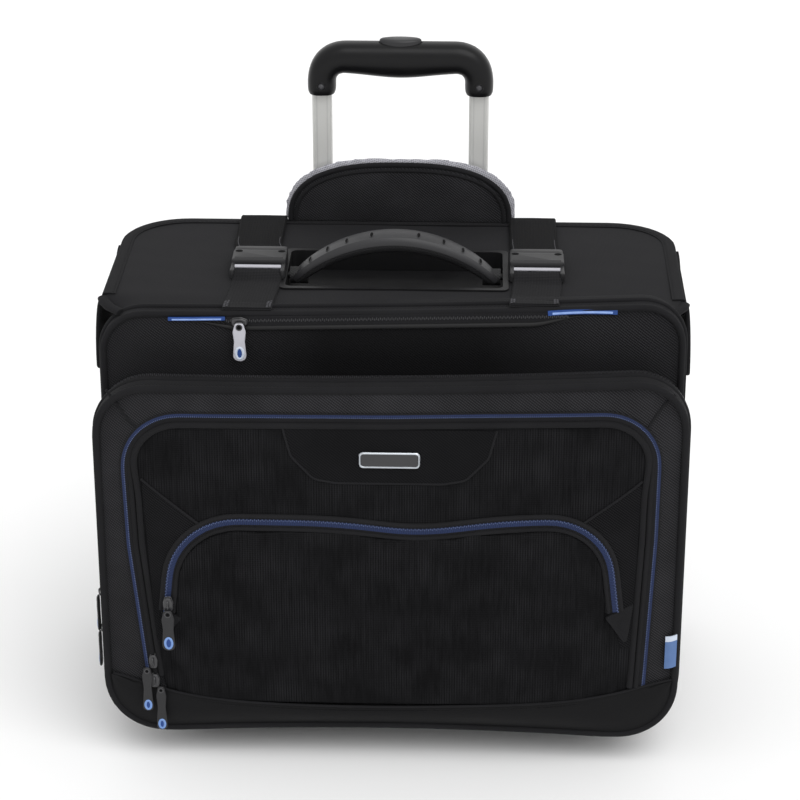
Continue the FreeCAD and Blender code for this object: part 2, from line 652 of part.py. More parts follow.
def push_rods():
    one = rod(2.2, V(TUBE_X, TUBE_Y, INNER_BASE + 6), V(TUBE_X, TUBE_Y, 497))
    export("push_rods", one, mirrored(one))


# ---------------------------------------------------------------- zip sliders and pullers
def slider_body(low_front):
    """A slider lying on a front face, with its top bridge; low_front is its back centre."""
    width, depth, length = SLIDER
    body = box(-width / 2, width / 2, -depth, 0, -length / 2, length / 2)
    bridge = box(-1.4, 1.4, -depth - PULLER_STANDOFF + 0.4, -depth, -length / 2 + 3, length / 2 - 3)
    shape = body.fuse(bridge)
    shape.translate(low_front)
    return shape.removeSplitter()


def puller_plate(pivot, width, length):
    """A waisted tab with a slot near its free end, hanging from pivot."""
    half = width / 2
    waist = half - 1.2
    tab = prism("xz", [(-2.4, 0.5, 1.2), (-half, -9, 6), (-waist, -16, 6), (-half, -length, 3.2),
                       (half, -length, 3.2), (waist, -16, 6), (half, -9, 6), (2.4, 0.5, 1.2)],
                -PULLER_THICK, 0)
    tab = tab.cut(prism("xz", rectangle(1.7, 3 - length, 10 - length, 1.6, 1.6), -9, 9))
    tab.translate(pivot)
    return tab


def front_slider(name, x, back_y, z, lean, length, width=PULLER_WIDTH, offset=0.0, drop=4.0):
    """A slider on a face that looks along -Y, turned by lean about Y, with its puller.

    The puller hangs from drop below the slider's middle, offset to one side.
    """
    slider = slider_body(V(0, 0, 0))
    slider.rotate(V(0, 0, 0), V(0, 1, 0), lean)
    slider.translate(V(x, back_y, z))
    export(name + "_slider", slider)
    pivot = V(x + offset, back_y - SLIDER[1] - PULLER_STANDOFF, z - drop)
    export(name + "_puller", puller_plate(pivot, width, length))


def side_slider(name, z, length):
    """A slider on the left side of the organiser, with its puller hanging beside it."""
    x, y = -ORGANISER_HALF_WIDTH - 1.6 - GAP, ORGANISER_BACK - 4
    slider = slider_body(V(0, 0, 0))
    puller = puller_plate(V(0, 0, 0), PULLER_WIDTH, length)
    for piece in (slider, puller):
        piece.rotate(V(0, 0, 0), V(0, 0, 1), -90)
    slider.translate(V(x, y, z))
    puller.translate(V(x - SLIDER[1] - PULLER_STANDOFF, y, z - 4))
    export(name + "_slider", slider)
    export(name + "_puller", puller)


def zip_sliders():
    slope = FRONT_ZIP_RISE / (FRONT_ZIP_RIGHT - FRONT_ZIP_LEFT)
    start = FRONT_ZIP_LEFT + 10
    front_slider("front_zip", start, FRONT_FACE - GAP - 2.1, FRONT_ZIP_Z + 10 * slope, lean=-90 - slope * 180 / pi,
                 length=30, drop=0)
    pocket_back = ORGANISER_FACE - GAP - TAPE - GAP
    front_slider("pocket_zip_upper", -184.3, pocket_back, 88, lean=-2.4, length=38, width=9, offset=-4.8)
    front_slider("pocket_zip_lower", -183.6, pocket_back, 71, lean=-2.4, length=38, width=9, offset=4.8)
    front_slider("lower_pocket_zip", -170.2, POCKET_FACE - GAP - TAPE - GAP, 142, lean=5.4, length=34)
    side_slider("organiser_zip_upper", z=127, length=30)
    side_slider("organiser_zip_lower", z=95, length=30)


def main():
    os.makedirs("parts", exist_ok=True)
    main_shell()
    bottom_board()
    front_pocket_shell()
    front_zip()
    base_bracket()
    back_cover()
    outer_tubes()
    handle_bezel()
    wheel_housings()
    wheel_axles()
    wheels()
    front_feet()
    base_screws()
    strap_anchors()
    organiser_shell()
    organiser_zip()
    pockets()
    pocket_zips()
    badge()
    side_tag()
    lid_panel()
    lid_binding()
    lid_wings()
    handle_tray()
    carry_handle()
    tongue()
    front_straps()
    strap_tails()
    buckles()
    rear_straps()
    mid_tubes()
    inner_tubes()
    grip_body()
    grip_screws()
    release_button()
    push_rods()
    zip_sliders()


main()
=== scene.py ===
"""Looks for the rolling flight case: its soft pieces, trims and materials, built round the frame.

Shapes are worked out in millimetres and handed to Blender in metres.
"""
import json
from math import atan2, cos, pi, radians, sin, tan

import bmesh
import bpy
import numpy as np
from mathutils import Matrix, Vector


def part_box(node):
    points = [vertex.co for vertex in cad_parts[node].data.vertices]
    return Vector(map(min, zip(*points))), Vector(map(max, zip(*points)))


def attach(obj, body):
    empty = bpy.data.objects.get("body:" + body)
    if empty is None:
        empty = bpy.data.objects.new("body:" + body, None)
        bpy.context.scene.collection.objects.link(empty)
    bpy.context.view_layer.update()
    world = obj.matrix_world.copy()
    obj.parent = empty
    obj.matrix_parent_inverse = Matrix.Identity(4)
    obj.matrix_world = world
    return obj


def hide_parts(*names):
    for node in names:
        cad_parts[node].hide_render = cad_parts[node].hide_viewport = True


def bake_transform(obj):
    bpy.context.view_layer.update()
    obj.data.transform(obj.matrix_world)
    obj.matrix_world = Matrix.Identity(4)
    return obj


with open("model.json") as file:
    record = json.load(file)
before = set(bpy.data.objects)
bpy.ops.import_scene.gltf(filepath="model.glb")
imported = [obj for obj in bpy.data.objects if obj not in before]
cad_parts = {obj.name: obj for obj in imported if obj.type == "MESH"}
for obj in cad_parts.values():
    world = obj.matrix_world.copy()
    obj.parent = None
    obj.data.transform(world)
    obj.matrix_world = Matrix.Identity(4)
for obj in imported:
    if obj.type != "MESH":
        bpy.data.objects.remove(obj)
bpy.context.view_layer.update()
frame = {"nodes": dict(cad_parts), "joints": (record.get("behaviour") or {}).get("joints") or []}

MM = 0.001
ARC_STEPS = 9
FORWARD = np.array((0.0, -1.0, 0.0))
BACKWARD = np.array((0.0, 1.0, 0.0))
UPWARD = np.array((0.0, 0.0, 1.0))


def span(node):
    """A frame node's lowest and highest corners, in millimetres."""
    low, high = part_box(node)
    return np.array(low) / MM, np.array(high) / MM


ORGANISER = span("organiser_shell")
FRONT = span("front_pocket_shell")
FRONT_HALF = FRONT[1][0] + 2.5
SHELL = span("main_shell")
LID = span("lid_panel")
BINDING = span("lid_binding")
TRAY = span("handle_tray")
COVER = span("back_cover")
LID_TOP = LID[1][2]
CREASE_Y = LID[0][1]
ORGANISER_MIDDLE = (ORGANISER[0][2] + ORGANISER[1][2]) / 2
ORGANISER_FOOT_RADIUS = 46
ORGANISER_TOP_RADIUS = 42
FRONT_FOOT_RADIUS = 38
FRONT_TOP_RADIUS = 34
CASE_FOOT_RADIUS = 38
CASE_BACK_RADIUS = 46
LID_BACK_RADIUS = 50
LINING_INSET = 3.5
INLAY_DEPTH = 0.5
SMOOTH_ANGLE = 38
SIMULATION_FRAMES = 20
ARCH_POWER = 2.6
PULLER_THICK = 1.5


# ---------------------------------------------------------------- lines and surfaces
def unit(vectors):
    return vectors / np.linalg.norm(vectors, axis=-1, keepdims=True)


def ease(t):
    """A smooth step from 0 to 1."""
    t = np.clip(t, 0, 1)
    return t * t * (3 - 2 * t)


def rounded(corners, closed=True):
    """Points along straight runs joined by tangent arcs; a corner is (u, v, radius)."""
    points = []
    for i, (u, v, radius) in enumerate(corners):
        here = np.array((u, v), float)
        if radius == 0 or (not closed and i in (0, len(corners) - 1)):
            points.append(here)
            continue
        before = unit(np.array(corners[i - 1][:2]) - here)
        after = unit(np.array(corners[(i + 1) % len(corners)][:2]) - here)
        half = np.arccos(np.clip(before @ after, -1, 1)) / 2
        centre = here + unit(before + after) * radius / sin(half)
        start = here + before * radius / tan(half) - centre
        end = here + after * radius / tan(half) - centre
        turn = atan2(start[0] * end[1] - start[1] * end[0], start @ end)
        quarter = np.array((-start[1], start[0]))
        for k in range(ARC_STEPS + 1):
            angle = turn * k / ARC_STEPS
            points.append(centre + start * cos(angle) + quarter * sin(angle))
    return np.array(points)


def distances(points):
    """How far along a line each of its points lies."""
    return np.concatenate([[0], np.cumsum(np.linalg.norm(np.diff(points, axis=0), axis=1))])


def read_at(at, along, values):
    """Each column of values, given at the distances along, read again at other distances."""
    return np.column_stack([np.interp(at, along, column) for column in values.T])


def spaced(points, step=None, count=None, closed=False):
    """The same line with evenly spaced points, step apart or count in all."""
    points = np.asarray(points, float)
    if closed:
        points = np.vstack([points, points[:1]])
    along = distances(points)
    if count is None:
        count = max(2, round(along[-1] / step)) + (0 if closed else 1)
    line = read_at(np.linspace(0, along[-1], count + 1 if closed else count), along, points)
    return line[:-1] if closed else line


def outline_of(corners, count):
    """A closed rounded outline with evenly spaced points."""
    return spaced(rounded(corners), count=count, closed=True)


def beside(line, distance):
    """An open plane line moved to the right of its direction."""
    ahead = unit(np.gradient(line, axis=0))
    return line + np.column_stack([ahead[:, 1], -ahead[:, 0]]) * distance


def loop_normals(ring):
    """Outward unit normals of an anticlockwise plane loop."""
    ahead = unit(np.roll(ring, -1, axis=0) - np.roll(ring, 1, axis=0))
    return np.column_stack([ahead[:, 1], -ahead[:, 0]])


def block_corners(half_width, low, high, low_radius, high_radius, centre=0.0):
    """Corners of a rounded rectangle, anticlockwise from its lower left."""
    return [(centre - half_width, low, low_radius), (centre + half_width, low, low_radius),
            (centre + half_width, high, high_radius), (centre - half_width, high, high_radius)]


def ripple(u, v, size=1.0):
    """Shallow waves of loose cloth, about size high."""
    wide = np.sin(u / 41 + 0.8) * np.sin(v / 53 + 1.9)
    cross = np.sin(u / 23 - v / 37 + 0.4)
    fine = np.sin(u / 13 + v / 19) * np.sin(u / 29 - v / 11)
    return size * (0.5 * wide + 0.3 * cross + 0.2 * fine)


def swell(half_width, low, high, seam_y, pad, belly, soft):
    """Depth of a padded panel facing forward: it fills inside its seam, the sooner the less soft,
    then bellies."""
    middle, half_height = (low + high) / 2, (high - low) / 2

    def depth(x, z):
        reach = (np.abs(x / half_width) ** 6 + np.abs((z - middle) / half_height) ** 6) ** (1 / 6)
        reach = np.clip(reach, 0, 1)
        return seam_y - pad * (1 - np.exp((reach - 1) / soft)) - belly * (1 - reach * reach)
    return depth


organiser_swell = swell(ORGANISER[1][0] - 3, ORGANISER[0][2] - 6, ORGANISER[1][2] + 6,
                        seam_y=-128.6, pad=4.0, belly=1.6, soft=0.07)
pocket_swell = swell(half_width=193, low=48, high=294, seam_y=0.0, pad=3.2, belly=2.6, soft=0.05)
lower_swell = swell(half_width=170, low=48, high=212, seam_y=0.0, pad=3.6, belly=2.2, soft=0.05)


def organiser_face(x, z):
    return organiser_swell(x, z) + ripple(x, z, 0.35)


def pocket_face(x, z):
    return organiser_face(x, z) - 0.8 + pocket_swell(x, z) + ripple(z, x, 0.5)


def lower_face(x, z):
    return pocket_face(x, z) - 0.9 + lower_swell(x, z)


def on_face(face, line, lift=0.0):
    """Lays an (x, z) line on a forward face, lift millimetres in front of it."""
    return np.column_stack([line[:, 0], face(line[:, 0], line[:, 1]) - lift, line[:, 1]])


def organiser_ring(inset, y=-130.0):
    """The organiser's outline in (x, z) at depth y: its top edge is uneven and falls towards the case."""
    low, high = ORGANISER
    corners = block_corners(high[0] - inset, low[2] + inset, high[2] - inset,
                            ORGANISER_FOOT_RADIUS - inset, ORGANISER_TOP_RADIUS - inset)
    ring = outline_of(corners, 360)
    across = ring[:, 0] / 190
    near_top = ease((ring[:, 1] - 220) / 90)
    near_foot = ease((110 - ring[:, 1]) / 70)
    fall = 0.2 * (y + 130)
    rise = 0.5 + 4 * across + 3.5 * across ** 2 - fall
    sag = 1.5 - 4.8 * np.minimum(np.abs(ring[:, 0]) / 165, 1) ** 2
    ring[:, 1] += rise * near_top
    ring[:, 1] += sag * near_foot
    return ring


def nearest(ring, u, v):
    """Which of a plane line's points is nearest to (u, v)."""
    return int(np.argmin(np.hypot(ring[:, 0] - u, ring[:, 1] - v)))


def front_rise(x):
    """How far the front's top edge is from level."""
    return 5.0 * x / 190 + 2.0 * (x / 190) ** 2


def front_ring(inset):
    """The upper front pocket's outline in (x, z)."""
    low, high = FRONT
    corners = block_corners(FRONT_HALF - inset, low[2] + inset, high[2] - inset,
                            FRONT_FOOT_RADIUS - inset, FRONT_TOP_RADIUS - inset)
    ring = outline_of(corners, 360)
    ring[:, 1] += front_rise(ring[:, 0]) * ease((ring[:, 1] - 260) / 90)
    return ring


def front_top(x):
    """Height of the upper front pocket's top edge."""
    radius = FRONT_TOP_RADIUS
    past = np.clip(np.abs(x) - (FRONT_HALF - radius), 0, radius - 0.5)
    return FRONT[1][2] + front_rise(x) - (radius - np.sqrt(radius ** 2 - past ** 2))


def upright_ring(ring, y):
    """An (x, z) loop stood up at depth y."""
    return np.column_stack([ring[:, 0], np.full(len(ring), float(y)), ring[:, 1]])


def folded(row, thickness):
    """A row of points and the same row back again, thickness away."""
    return np.vstack([row, (row + thickness)[::-1]])


def level_ring(ring, z):
    """An (x, y) loop laid flat at height z."""
    return np.column_stack([ring, np.full(len(ring), float(z))])


def turns(count):
    """Angles evenly spaced round a full turn."""
    return np.linspace(0, 2 * pi, count, endpoint=False)


def oval_ring(u, v, half_u, half_v, count=48):
    angles = turns(count)
    return np.column_stack([u + half_u * np.cos(angles), v + half_v * np.sin(angles)])


# ---------------------------------------------------------------- building pieces
def round_profile(across, out, count=10):
    """An oval of (sideways, outward) points."""
    return oval_ring(0.0, 0.0, across, out, count)


def tape_profile(width, thick):
    """A thin band of (sideways, outward) points, slightly crowned."""
    half = width / 2
    over = [(-half, 0.5), (-half * 0.94, 1.0), (0, 1.12), (half * 0.94, 1.0), (half, 0.5)]
    under = [(half * 0.9, 0.0), (0, 0.0), (-half * 0.9, 0.0)]
    return np.array([(u, v * thick) for u, v in over + under])


class Piece:
    """Surfaces in millimetres that become one Blender object in metres."""

    def __init__(self):
        self.points, self.faces, self.maps, self.slots = [], [], [], []
        self.count = 0

    def take(self, points, faces, maps, slot):
        self.points.append(np.asarray(points, float).reshape(-1, 3))
        self.faces.extend(faces)
        self.maps.extend(maps)
        self.slots.extend([slot] * len(faces))
        self.count += len(self.points[-1])

    def grid(self, rows, closed=False, looped=False, ends=False, slot=0):
        """A surface through rows of points. closed joins each row's ends, looped joins the last row to
        the first, and ends caps the first and last rows."""
        rows = np.asarray(rows, float)
        n, m = rows.shape[:2]
        across = np.linalg.norm(np.roll(rows, -1, axis=1) - rows, axis=2).mean(axis=0)
        along = np.linalg.norm(np.roll(rows, -1, axis=0) - rows, axis=2).mean(axis=1)
        u = np.concatenate([[0], np.cumsum(across)])
        v = np.concatenate([[0], np.cumsum(along)])
        base = self.count
        faces, maps = [], []
        for i in range(n if looped else n - 1):
            below, above = base + i * m, base + (i + 1) % n * m
            for j in range(m if closed else m - 1):
                k = (j + 1) % m
                faces.append((below + j, below + k, above + k, above + j))
                maps.append(((u[j], v[i]), (u[j + 1], v[i]), (u[j + 1], v[i + 1]), (u[j], v[i + 1])))
        if ends:
            for row, first in ((rows[0], base), (rows[-1], base + (n - 1) * m)):
                faces.append(tuple(range(first, first + m)))
                maps.append([(p[0] + p[1], p[2]) for p in row])
        self.take(rows, faces, maps, slot)

    def sweep(self, path, profile, out, closed=False, slot=0):
        """Carries a closed profile along a path; out is the outward direction, one or one per point."""
        path = np.asarray(path, float)
        if closed:
            ahead = unit(np.roll(path, -1, axis=0) - np.roll(path, 1, axis=0))
        else:
            ahead = unit(np.gradient(path, axis=0))
        side = unit(np.cross(ahead, np.broadcast_to(out, path.shape)))
        up = np.cross(side, ahead)
        rows = path[:, None] + side[:, None] * profile[None, :, :1] + up[:, None] * profile[None, :, 1:]
        self.grid(rows, closed=True, looped=closed, ends=not closed, slot=slot)

    def roll(self, path, radius, out, closed=False):
        """A round piping along a path."""
        self.sweep(path, round_profile(radius, radius), out, closed=closed)

    def blocks(self, centres, ahead, out, size, slot=0):
        """Small tapered blocks of size (ahead, sideways, out), each in its own direction."""
        centres = np.asarray(centres, float)
        ahead = unit(np.broadcast_to(ahead, centres.shape))
        side = unit(np.cross(ahead, np.broadcast_to(out, centres.shape)))
        up = np.cross(side, ahead)
        corners = [(-1, -1, -1), (1, -1, -1), (1, 1, -1), (-1, 1, -1),
                   (-0.7, -0.8, 1), (0.7, -0.8, 1), (0.7, 0.8, 1), (-0.7, 0.8, 1)]
        half = np.array(corners) * np.array(size) / 2
        points = (centres[:, None] + ahead[:, None] * half[None, :, :1]
                  + side[:, None] * half[None, :, 1:2] + up[:, None] * half[None, :, 2:])
        quads = [(0, 3, 2, 1), (4, 5, 6, 7), (0, 1, 5, 4), (1, 2, 6, 5), (2, 3, 7, 6), (3, 0, 4, 7)]
        faces = [tuple(self.count + 8 * i + k for k in quad) for i in range(len(centres)) for quad in quads]
        patch = ((0.0, 0.0), (size[0], 0.0), (size[0], size[1]), (0.0, size[1]))
        self.take(points, faces, [patch] * len(faces), slot)

    def dotted(self, path, out, pitch, size, weave=0.0, slot=0):
        """Blocks along a path, pitch apart, swung alternately to each side by weave."""
        line = spaced(path, step=pitch)
        outward = spaced_like(path, np.broadcast_to(out, np.asarray(path).shape), len(line))
        ahead = unit(np.gradient(line, axis=0))
        side = unit(np.cross(ahead, outward))
        swing = np.where(np.arange(len(line)) % 2, weave, -weave)[:, None]
        self.blocks(line + side * swing, ahead, outward, size, slot)

    def inlay(self, ring, out, slot=0):
        """A thin plate with this outline for its front, let back into what it lies on."""
        ring = np.asarray(ring, float)
        self.grid([ring - np.asarray(out, float) * INLAY_DEPTH, ring], closed=True, ends=True, slot=slot)

    def disc(self, outline, face, lift=0.0, edge=1.6, rings=26):
        """A panel inside a star-shaped (x, z) outline, laid on a face, with its rim turned back by edge."""
        middle = (outline.max(axis=0) + outline.min(axis=0)) / 2
        turned_in = 1 - 0.8 / np.abs(outline - middle).max()
        inner = 1 - np.linspace(0, 1, rings) ** 1.4 * 0.97
        steps = [(1.0, edge), (1.0, edge * 0.35), (turned_in, 0.0)] + [(share, 0.0) for share in inner[1:]]
        rows = [on_face(face, middle + (outline - middle) * share, lift - back) for share, back in steps]
        self.grid(rows, closed=True, ends=True)

    def object(self, name, looks, body=None, stands_for=(), slot=None, project=False):
        """Makes the Blender object. project lays the weave square to the nearest axis instead of along
        the sweeps."""
        mesh = bpy.data.meshes.new(name)
        mesh.from_pydata((np.vstack(self.points) * MM).tolist(), [], self.faces)
        layer = mesh.uv_layers.new(name="cloth")
        layer.data.foreach_set("uv", np.array([p for face in self.maps for p in face], np.float32).ravel())
        for look in looks:
            mesh.materials.append(look)
        mesh.polygons.foreach_set("material_index", self.slots)
        tidy_mesh(mesh, SMOOTH_ANGLE)
        if project:
            project_weave(mesh)
        made = bpy.data.objects.new(name, mesh)
        bpy.context.scene.collection.objects.link(made)
        if body:
            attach(made, body)
        if stands_for:
            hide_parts(*stands_for)
        return made

    def bind(self, name, body, node):
        """Makes the object as edge binding that stands for part of a node."""
        return self.object(name, looks("edge"), body, [node], "edge_binding")


def spaced_like(path, values, count):
    """Values given at a path's points, read again at count even places along it."""
    along = distances(np.asarray(path, float))
    return read_at(np.linspace(0, along[-1], count), along, np.asarray(values, float))


def tidy_mesh(mesh, crease):
    """Turns the faces outwards and shades them smooth, up to the crease angle."""
    work = bmesh.new()
    work.from_mesh(mesh)
    bmesh.ops.recalc_face_normals(work, faces=work.faces)
    work.to_mesh(mesh)
    work.free()
    mesh.polygons.foreach_set("use_smooth", [True] * len(mesh.polygons))
    mesh.set_sharp_from_angle(angle=radians(crease))


def project_weave(mesh):
    """Lays the weave map on each face, in millimetres, square to the axis that the face looks along."""
    points = mesh_points(mesh)
    layer = mesh.uv_layers.get("cloth") or mesh.uv_layers.new(name="cloth")
    planes = ((1, 2), (0, 2), (0, 1))
    for face in mesh.polygons:
        u, v = planes[int(np.argmax(np.abs(face.normal)))]
        for corner in face.loop_indices:
            point = points[mesh.loops[corner].vertex_index]
            layer.data[corner].uv = (point[u], point[v])


def carve(piece, rings):
    """Cuts out of a closed piece the solid between two rings of points, in millimetres."""
    cutter = Piece()
    cutter.grid(rings, closed=True, ends=True)
    tool = cutter.object(piece.name + "_tool", [])
    cut = piece.modifiers.new("cut", "BOOLEAN")
    cut.object = tool
    cut.operation = "DIFFERENCE"
    cut.solver = "EXACT"
    apply_modifiers(piece)
    bpy.data.objects.remove(tool)


def box_rings(low, high):
    """The lower and upper outlines of a box between two corners."""
    plan = np.array([(low[0], low[1]), (high[0], low[1]), (high[0], high[1]), (low[0], high[1])])
    return [level_ring(plan, low[2]), level_ring(plan, high[2])]


def apply_modifiers(piece):
    graph = bpy.context.evaluated_depsgraph_get()
    mesh = bpy.data.meshes.new_from_object(piece.evaluated_get(graph), preserve_all_data_layers=True,
                                           depsgraph=graph)
    piece.modifiers.clear()
    piece.data = mesh


def mesh_points(mesh):
    points = np.zeros(len(mesh.vertices) * 3, np.float32)
    mesh.vertices.foreach_get("co", points)
    return points.reshape(-1, 3) / MM


def puff(piece, voxel, pressure, cap, held, shape=None):
    """Fills a closed piece by cloth simulation. held picks the points that stay, cap is the most that one
    may move, and shape is a last change to the points, for sewn channels. All in millimetres."""
    even = piece.modifiers.new("even", "REMESH")
    even.mode = "VOXEL"
    even.voxel_size = voxel * MM
    apply_modifiers(piece)
    start = mesh_points(piece.data)
    group = piece.vertex_groups.new(name="held")
    group.add(np.flatnonzero(held(start)).tolist(), 1.0, "REPLACE")
    cloth = piece.modifiers.new("cloth", "CLOTH")
    cloth.settings.use_pressure = True
    cloth.settings.uniform_pressure_force = pressure
    cloth.settings.effector_weights.gravity = 0.0
    cloth.settings.vertex_group_mass = "held"
    cloth.settings.shrink_min = -0.04
    for frame_number in range(1, SIMULATION_FRAMES + 1):
        bpy.context.scene.frame_set(frame_number)
    apply_modifiers(piece)
    bpy.context.scene.frame_set(1)
    shift = mesh_points(piece.data) - start
    far = np.maximum(np.linalg.norm(shift, axis=1, keepdims=True), 1e-6)
    points = start + shift * np.minimum(1.0, cap / far)
    if shape is not None:
        points = shape(points)
    piece.data.vertices.foreach_set("co", (points * MM).astype(np.float32).ravel())
    piece.vertex_groups.clear()
    finer = piece.modifiers.new("finer", "SUBSURF")
    finer.levels = 1
    apply_modifiers(piece)
    tidy_mesh(piece.data, 60)
    project_weave(piece.data)


# ---------------------------------------------------------------- materials
class Look:
    """A node material; its methods add nodes and return their output sockets."""

    def __init__(self, name, roughness, specular=0.5, metallic=0.0, sheen=0.0):
        self.material = bpy.data.materials.new(name)
        self.material.use_nodes = True
        self.tree = self.material.node_tree
        self.shader = self.tree.nodes["Principled BSDF"]
        for socket, value in (("Roughness", roughness), ("Specular IOR Level", specular),
                              ("Metallic", metallic), ("Sheen Weight", sheen)):
            self.shader.inputs[socket].default_value = value

    def add(self, kind, inputs, output=0, **settings):
        node = self.tree.nodes.new("ShaderNode" + kind)
        for key, value in settings.items():
            setattr(node, key, value)
        for key, value in inputs.items():
            self.feed(node.inputs[key], value)
        return node.outputs[output]

    def feed(self, socket, value):
        if isinstance(value, bpy.types.NodeSocket):
            self.tree.links.new(value, socket)
        else:
            socket.default_value = value

    def math(self, operation, a, b=0.0, clamp=False):
        return self.add("Math", {0: a, 1: b}, operation=operation, use_clamp=clamp)

    def times(self, a, b, clamp=False):
        return self.math("MULTIPLY", a, b, clamp)

    def plus(self, a, b, clamp=False):
        return self.math("ADD", a, b, clamp)

    def minus(self, a, b):
        return self.math("SUBTRACT", a, b)

    def mix(self, share, a, b):
        """A colour between a and b."""
        return self.add("Mix", {0: share, 6: a, 7: b}, output=2, data_type="RGBA")

    def cloth_map(self):
        """The weave map, in millimetres."""
        return self.add("UVMap", {}, uv_map="cloth")

    def body_map(self):
        """The object's own coordinates, in millimetres."""
        place = self.add("TexCoord", {}, output=3)
        return self.add("VectorMath", {0: place, 3: 1 / MM}, operation="SCALE")

    def waves(self, place, direction, pitch):
        """Rounded ridges from 0 to 1, repeating every pitch millimetres along direction."""
        run = self.add("VectorMath", {0: place, 1: (*direction, 0.0)[:3]}, output=1, operation="DOT_PRODUCT")
        turn = self.times(run, 2 * pi / pitch)
        return self.add("Math", {0: self.math("SINE", turn), 1: 0.5, 2: 0.5}, operation="MULTIPLY_ADD")

    def cloud(self, place, size, detail=3.0, stretch=(1, 1, 1)):
        """Soft noise from about 0.3 to 0.7, whose blotches are about size millimetres."""
        place = self.add("VectorMath", {0: place, 1: stretch}, operation="MULTIPLY")
        return self.add("TexNoise", {"Vector": place, "Scale": 1 / size, "Detail": detail})

    def bump(self, height, distance, under=None):
        """A bump normal for a height of 0 to 1 that is distance millimetres deep."""
        inputs = {"Height": height, "Distance": distance * MM, "Strength": 1.0}
        if under is not None:
            inputs["Normal"] = under
        return self.add("Bump", inputs)

    def finish(self, colour, normal=None, roughness=None):
        self.feed(self.shader.inputs["Base Color"], colour)
        if normal is not None:
            self.feed(self.shader.inputs["Normal"], normal)
        if roughness is not None:
            self.feed(self.shader.inputs["Roughness"], roughness)
        return self.material


def grey(value, tint=(1.0, 0.995, 1.09)):
    """A grey of this brightness, by default very slightly blue."""
    return (value * tint[0], value * tint[1], value * tint[2], 1.0)


def twill_weave(look, place):
    """Height of a twill: slanting ribs, broken by the cross threads."""
    ribs = look.waves(place, (0.62, 0.78), 1.75)
    threads = look.waves(place, (0.86, -0.42), 1.5)
    return look.times(ribs, look.plus(look.times(threads, 0.6), 0.4))


def fabric(name, dark, light, weave, depth, mottle=0.25, roughness=0.85, specular=0.08, sheen=0.02):
    """Woven cloth: the weave sets height and colour, and slow noise mottles it."""
    look = Look(name, roughness, specular, sheen=sheen)
    place = look.cloth_map()
    height = weave(look, place)
    worn = look.cloud(look.body_map(), 38.0)
    fuzz = look.cloud(place, 0.9, detail=2.0)
    share = look.plus(height, look.times(look.minus(worn, 0.5), mottle * 3))
    share = look.plus(share, look.times(look.minus(fuzz, 0.5), 0.5), clamp=True)
    colour = look.mix(share, grey(dark), grey(light))
    normal = look.bump(height, depth, under=look.bump(fuzz, depth * 0.5))
    rough = look.plus(look.times(worn, 0.15), roughness - 0.08)
    return look.finish(colour, normal, rough)


def plain_weave(look, place):
    across = look.waves(place, (1.0, 0.0), 1.0)
    along = look.waves(place, (0.0, 1.0), 1.0)
    return look.times(across, along)


def pinstripe_weave(look, place):
    """Upright ribs, crossed by a fainter weft, with uneven slubs."""
    ribs = look.waves(place, (1.0, 0.0), 1.95)
    weft = look.waves(place, (0.0, 1.0), 1.6)
    slub = look.cloud(place, 6.0, stretch=(2.6, 0.22, 1.0))
    faded = look.cloud(look.body_map(), 26.0, detail=1.0)
    strong = look.times(look.minus(faded, 0.30), 2.0, clamp=True)
    mixed = look.plus(look.times(ribs, look.times(strong, 0.75)),
                      look.times(weft, 0.2))
    return look.plus(mixed, look.times(look.minus(slub, 0.46), 0.7))


def webbing_weave(look, place):
    """Close ribs across the band, with rows of lengthwise cord."""
    across = look.waves(place, (0.0, 1.0), 1.5)
    along = look.waves(place, (1.0, 0.0), 2.2)
    return look.times(across, look.plus(look.times(along, 0.5), 0.5))


def herringbone_weave(look, place):
    left = look.waves(place, (0.8, 0.6), 1.1)
    right = look.waves(place, (-0.8, 0.6), 1.1)
    return look.math("MAXIMUM", left, right)


def satin_weave(look, place):
    return look.cloud(place, 1.4, detail=2.0, stretch=(0.3, 2.0, 1.0))


def front_twill_painted_shade():
    """The upper front's twill, which fades to plain dark cloth in the middle of the panel: painted shade."""
    look = Look("front_twill_painted_shade", 0.85, 0.08, sheen=0.02)
    place = look.cloth_map()
    height = twill_weave(look, place)
    across = look.add("SeparateXYZ", {0: look.body_map()})
    # painted shade: within 60 mm of the middle the weave fades out to the darkest grey, blending back over 80
    # mm
    middle, shaded_half, blend = 10.0, 60.0, 80.0
    off_middle = look.math("ABSOLUTE", look.minus(across, middle))
    outer = look.math("DIVIDE", look.minus(off_middle, shaded_half), blend, clamp=True)
    fuzz = look.cloud(place, 0.9, detail=2.0)
    share = look.times(look.plus(height, look.minus(fuzz, 0.5)), outer, clamp=True)
    colour = look.mix(share, grey(0.0050), grey(0.032))
    normal = look.bump(height, 0.35)
    return look.finish(colour, normal)


def accent_tape():
    """Blue tape and teeth with a lighter weave."""
    look = Look("accent_tape", 0.6, 0.2)
    place = look.cloth_map()
    weave = look.waves(place, (0.0, 1.0), 1.4)
    worn = look.cloud(look.body_map(), 25.0)
    colour = look.mix(weave, (0.008, 0.015, 0.052, 1), (0.020, 0.036, 0.105, 1))
    colour = look.mix(look.times(worn, 0.5), colour, (0.010, 0.013, 0.030, 1))
    return look.finish(colour, look.bump(weave, 0.2))


def bright_blue(name, dark, light):
    look = Look(name, 0.45, 0.4)
    weave = look.waves(look.cloth_map(), (0.3, 1.0), 0.9)
    shade = look.cloud(look.body_map(), 6.0)
    colour = look.mix(shade, (*dark, 1), (*light, 1))
    return look.finish(colour, look.bump(weave, 0.12))


def band_hide():
    """Smooth coated cloth of the bottom band, with a fine pebble grain."""
    look = Look("band_hide", 0.6, 0.10)
    place = look.cloth_map()
    cells = look.add("TexVoronoi", {"Vector": place, "Scale": 0.9}, feature="F1")
    worn = look.cloud(look.body_map(), 45.0)
    colour = look.mix(worn, grey(0.0048), grey(0.0074))
    rough = look.plus(look.times(worn, 0.25), 0.42)
    return look.finish(colour, look.bump(cells, 0.10), rough)


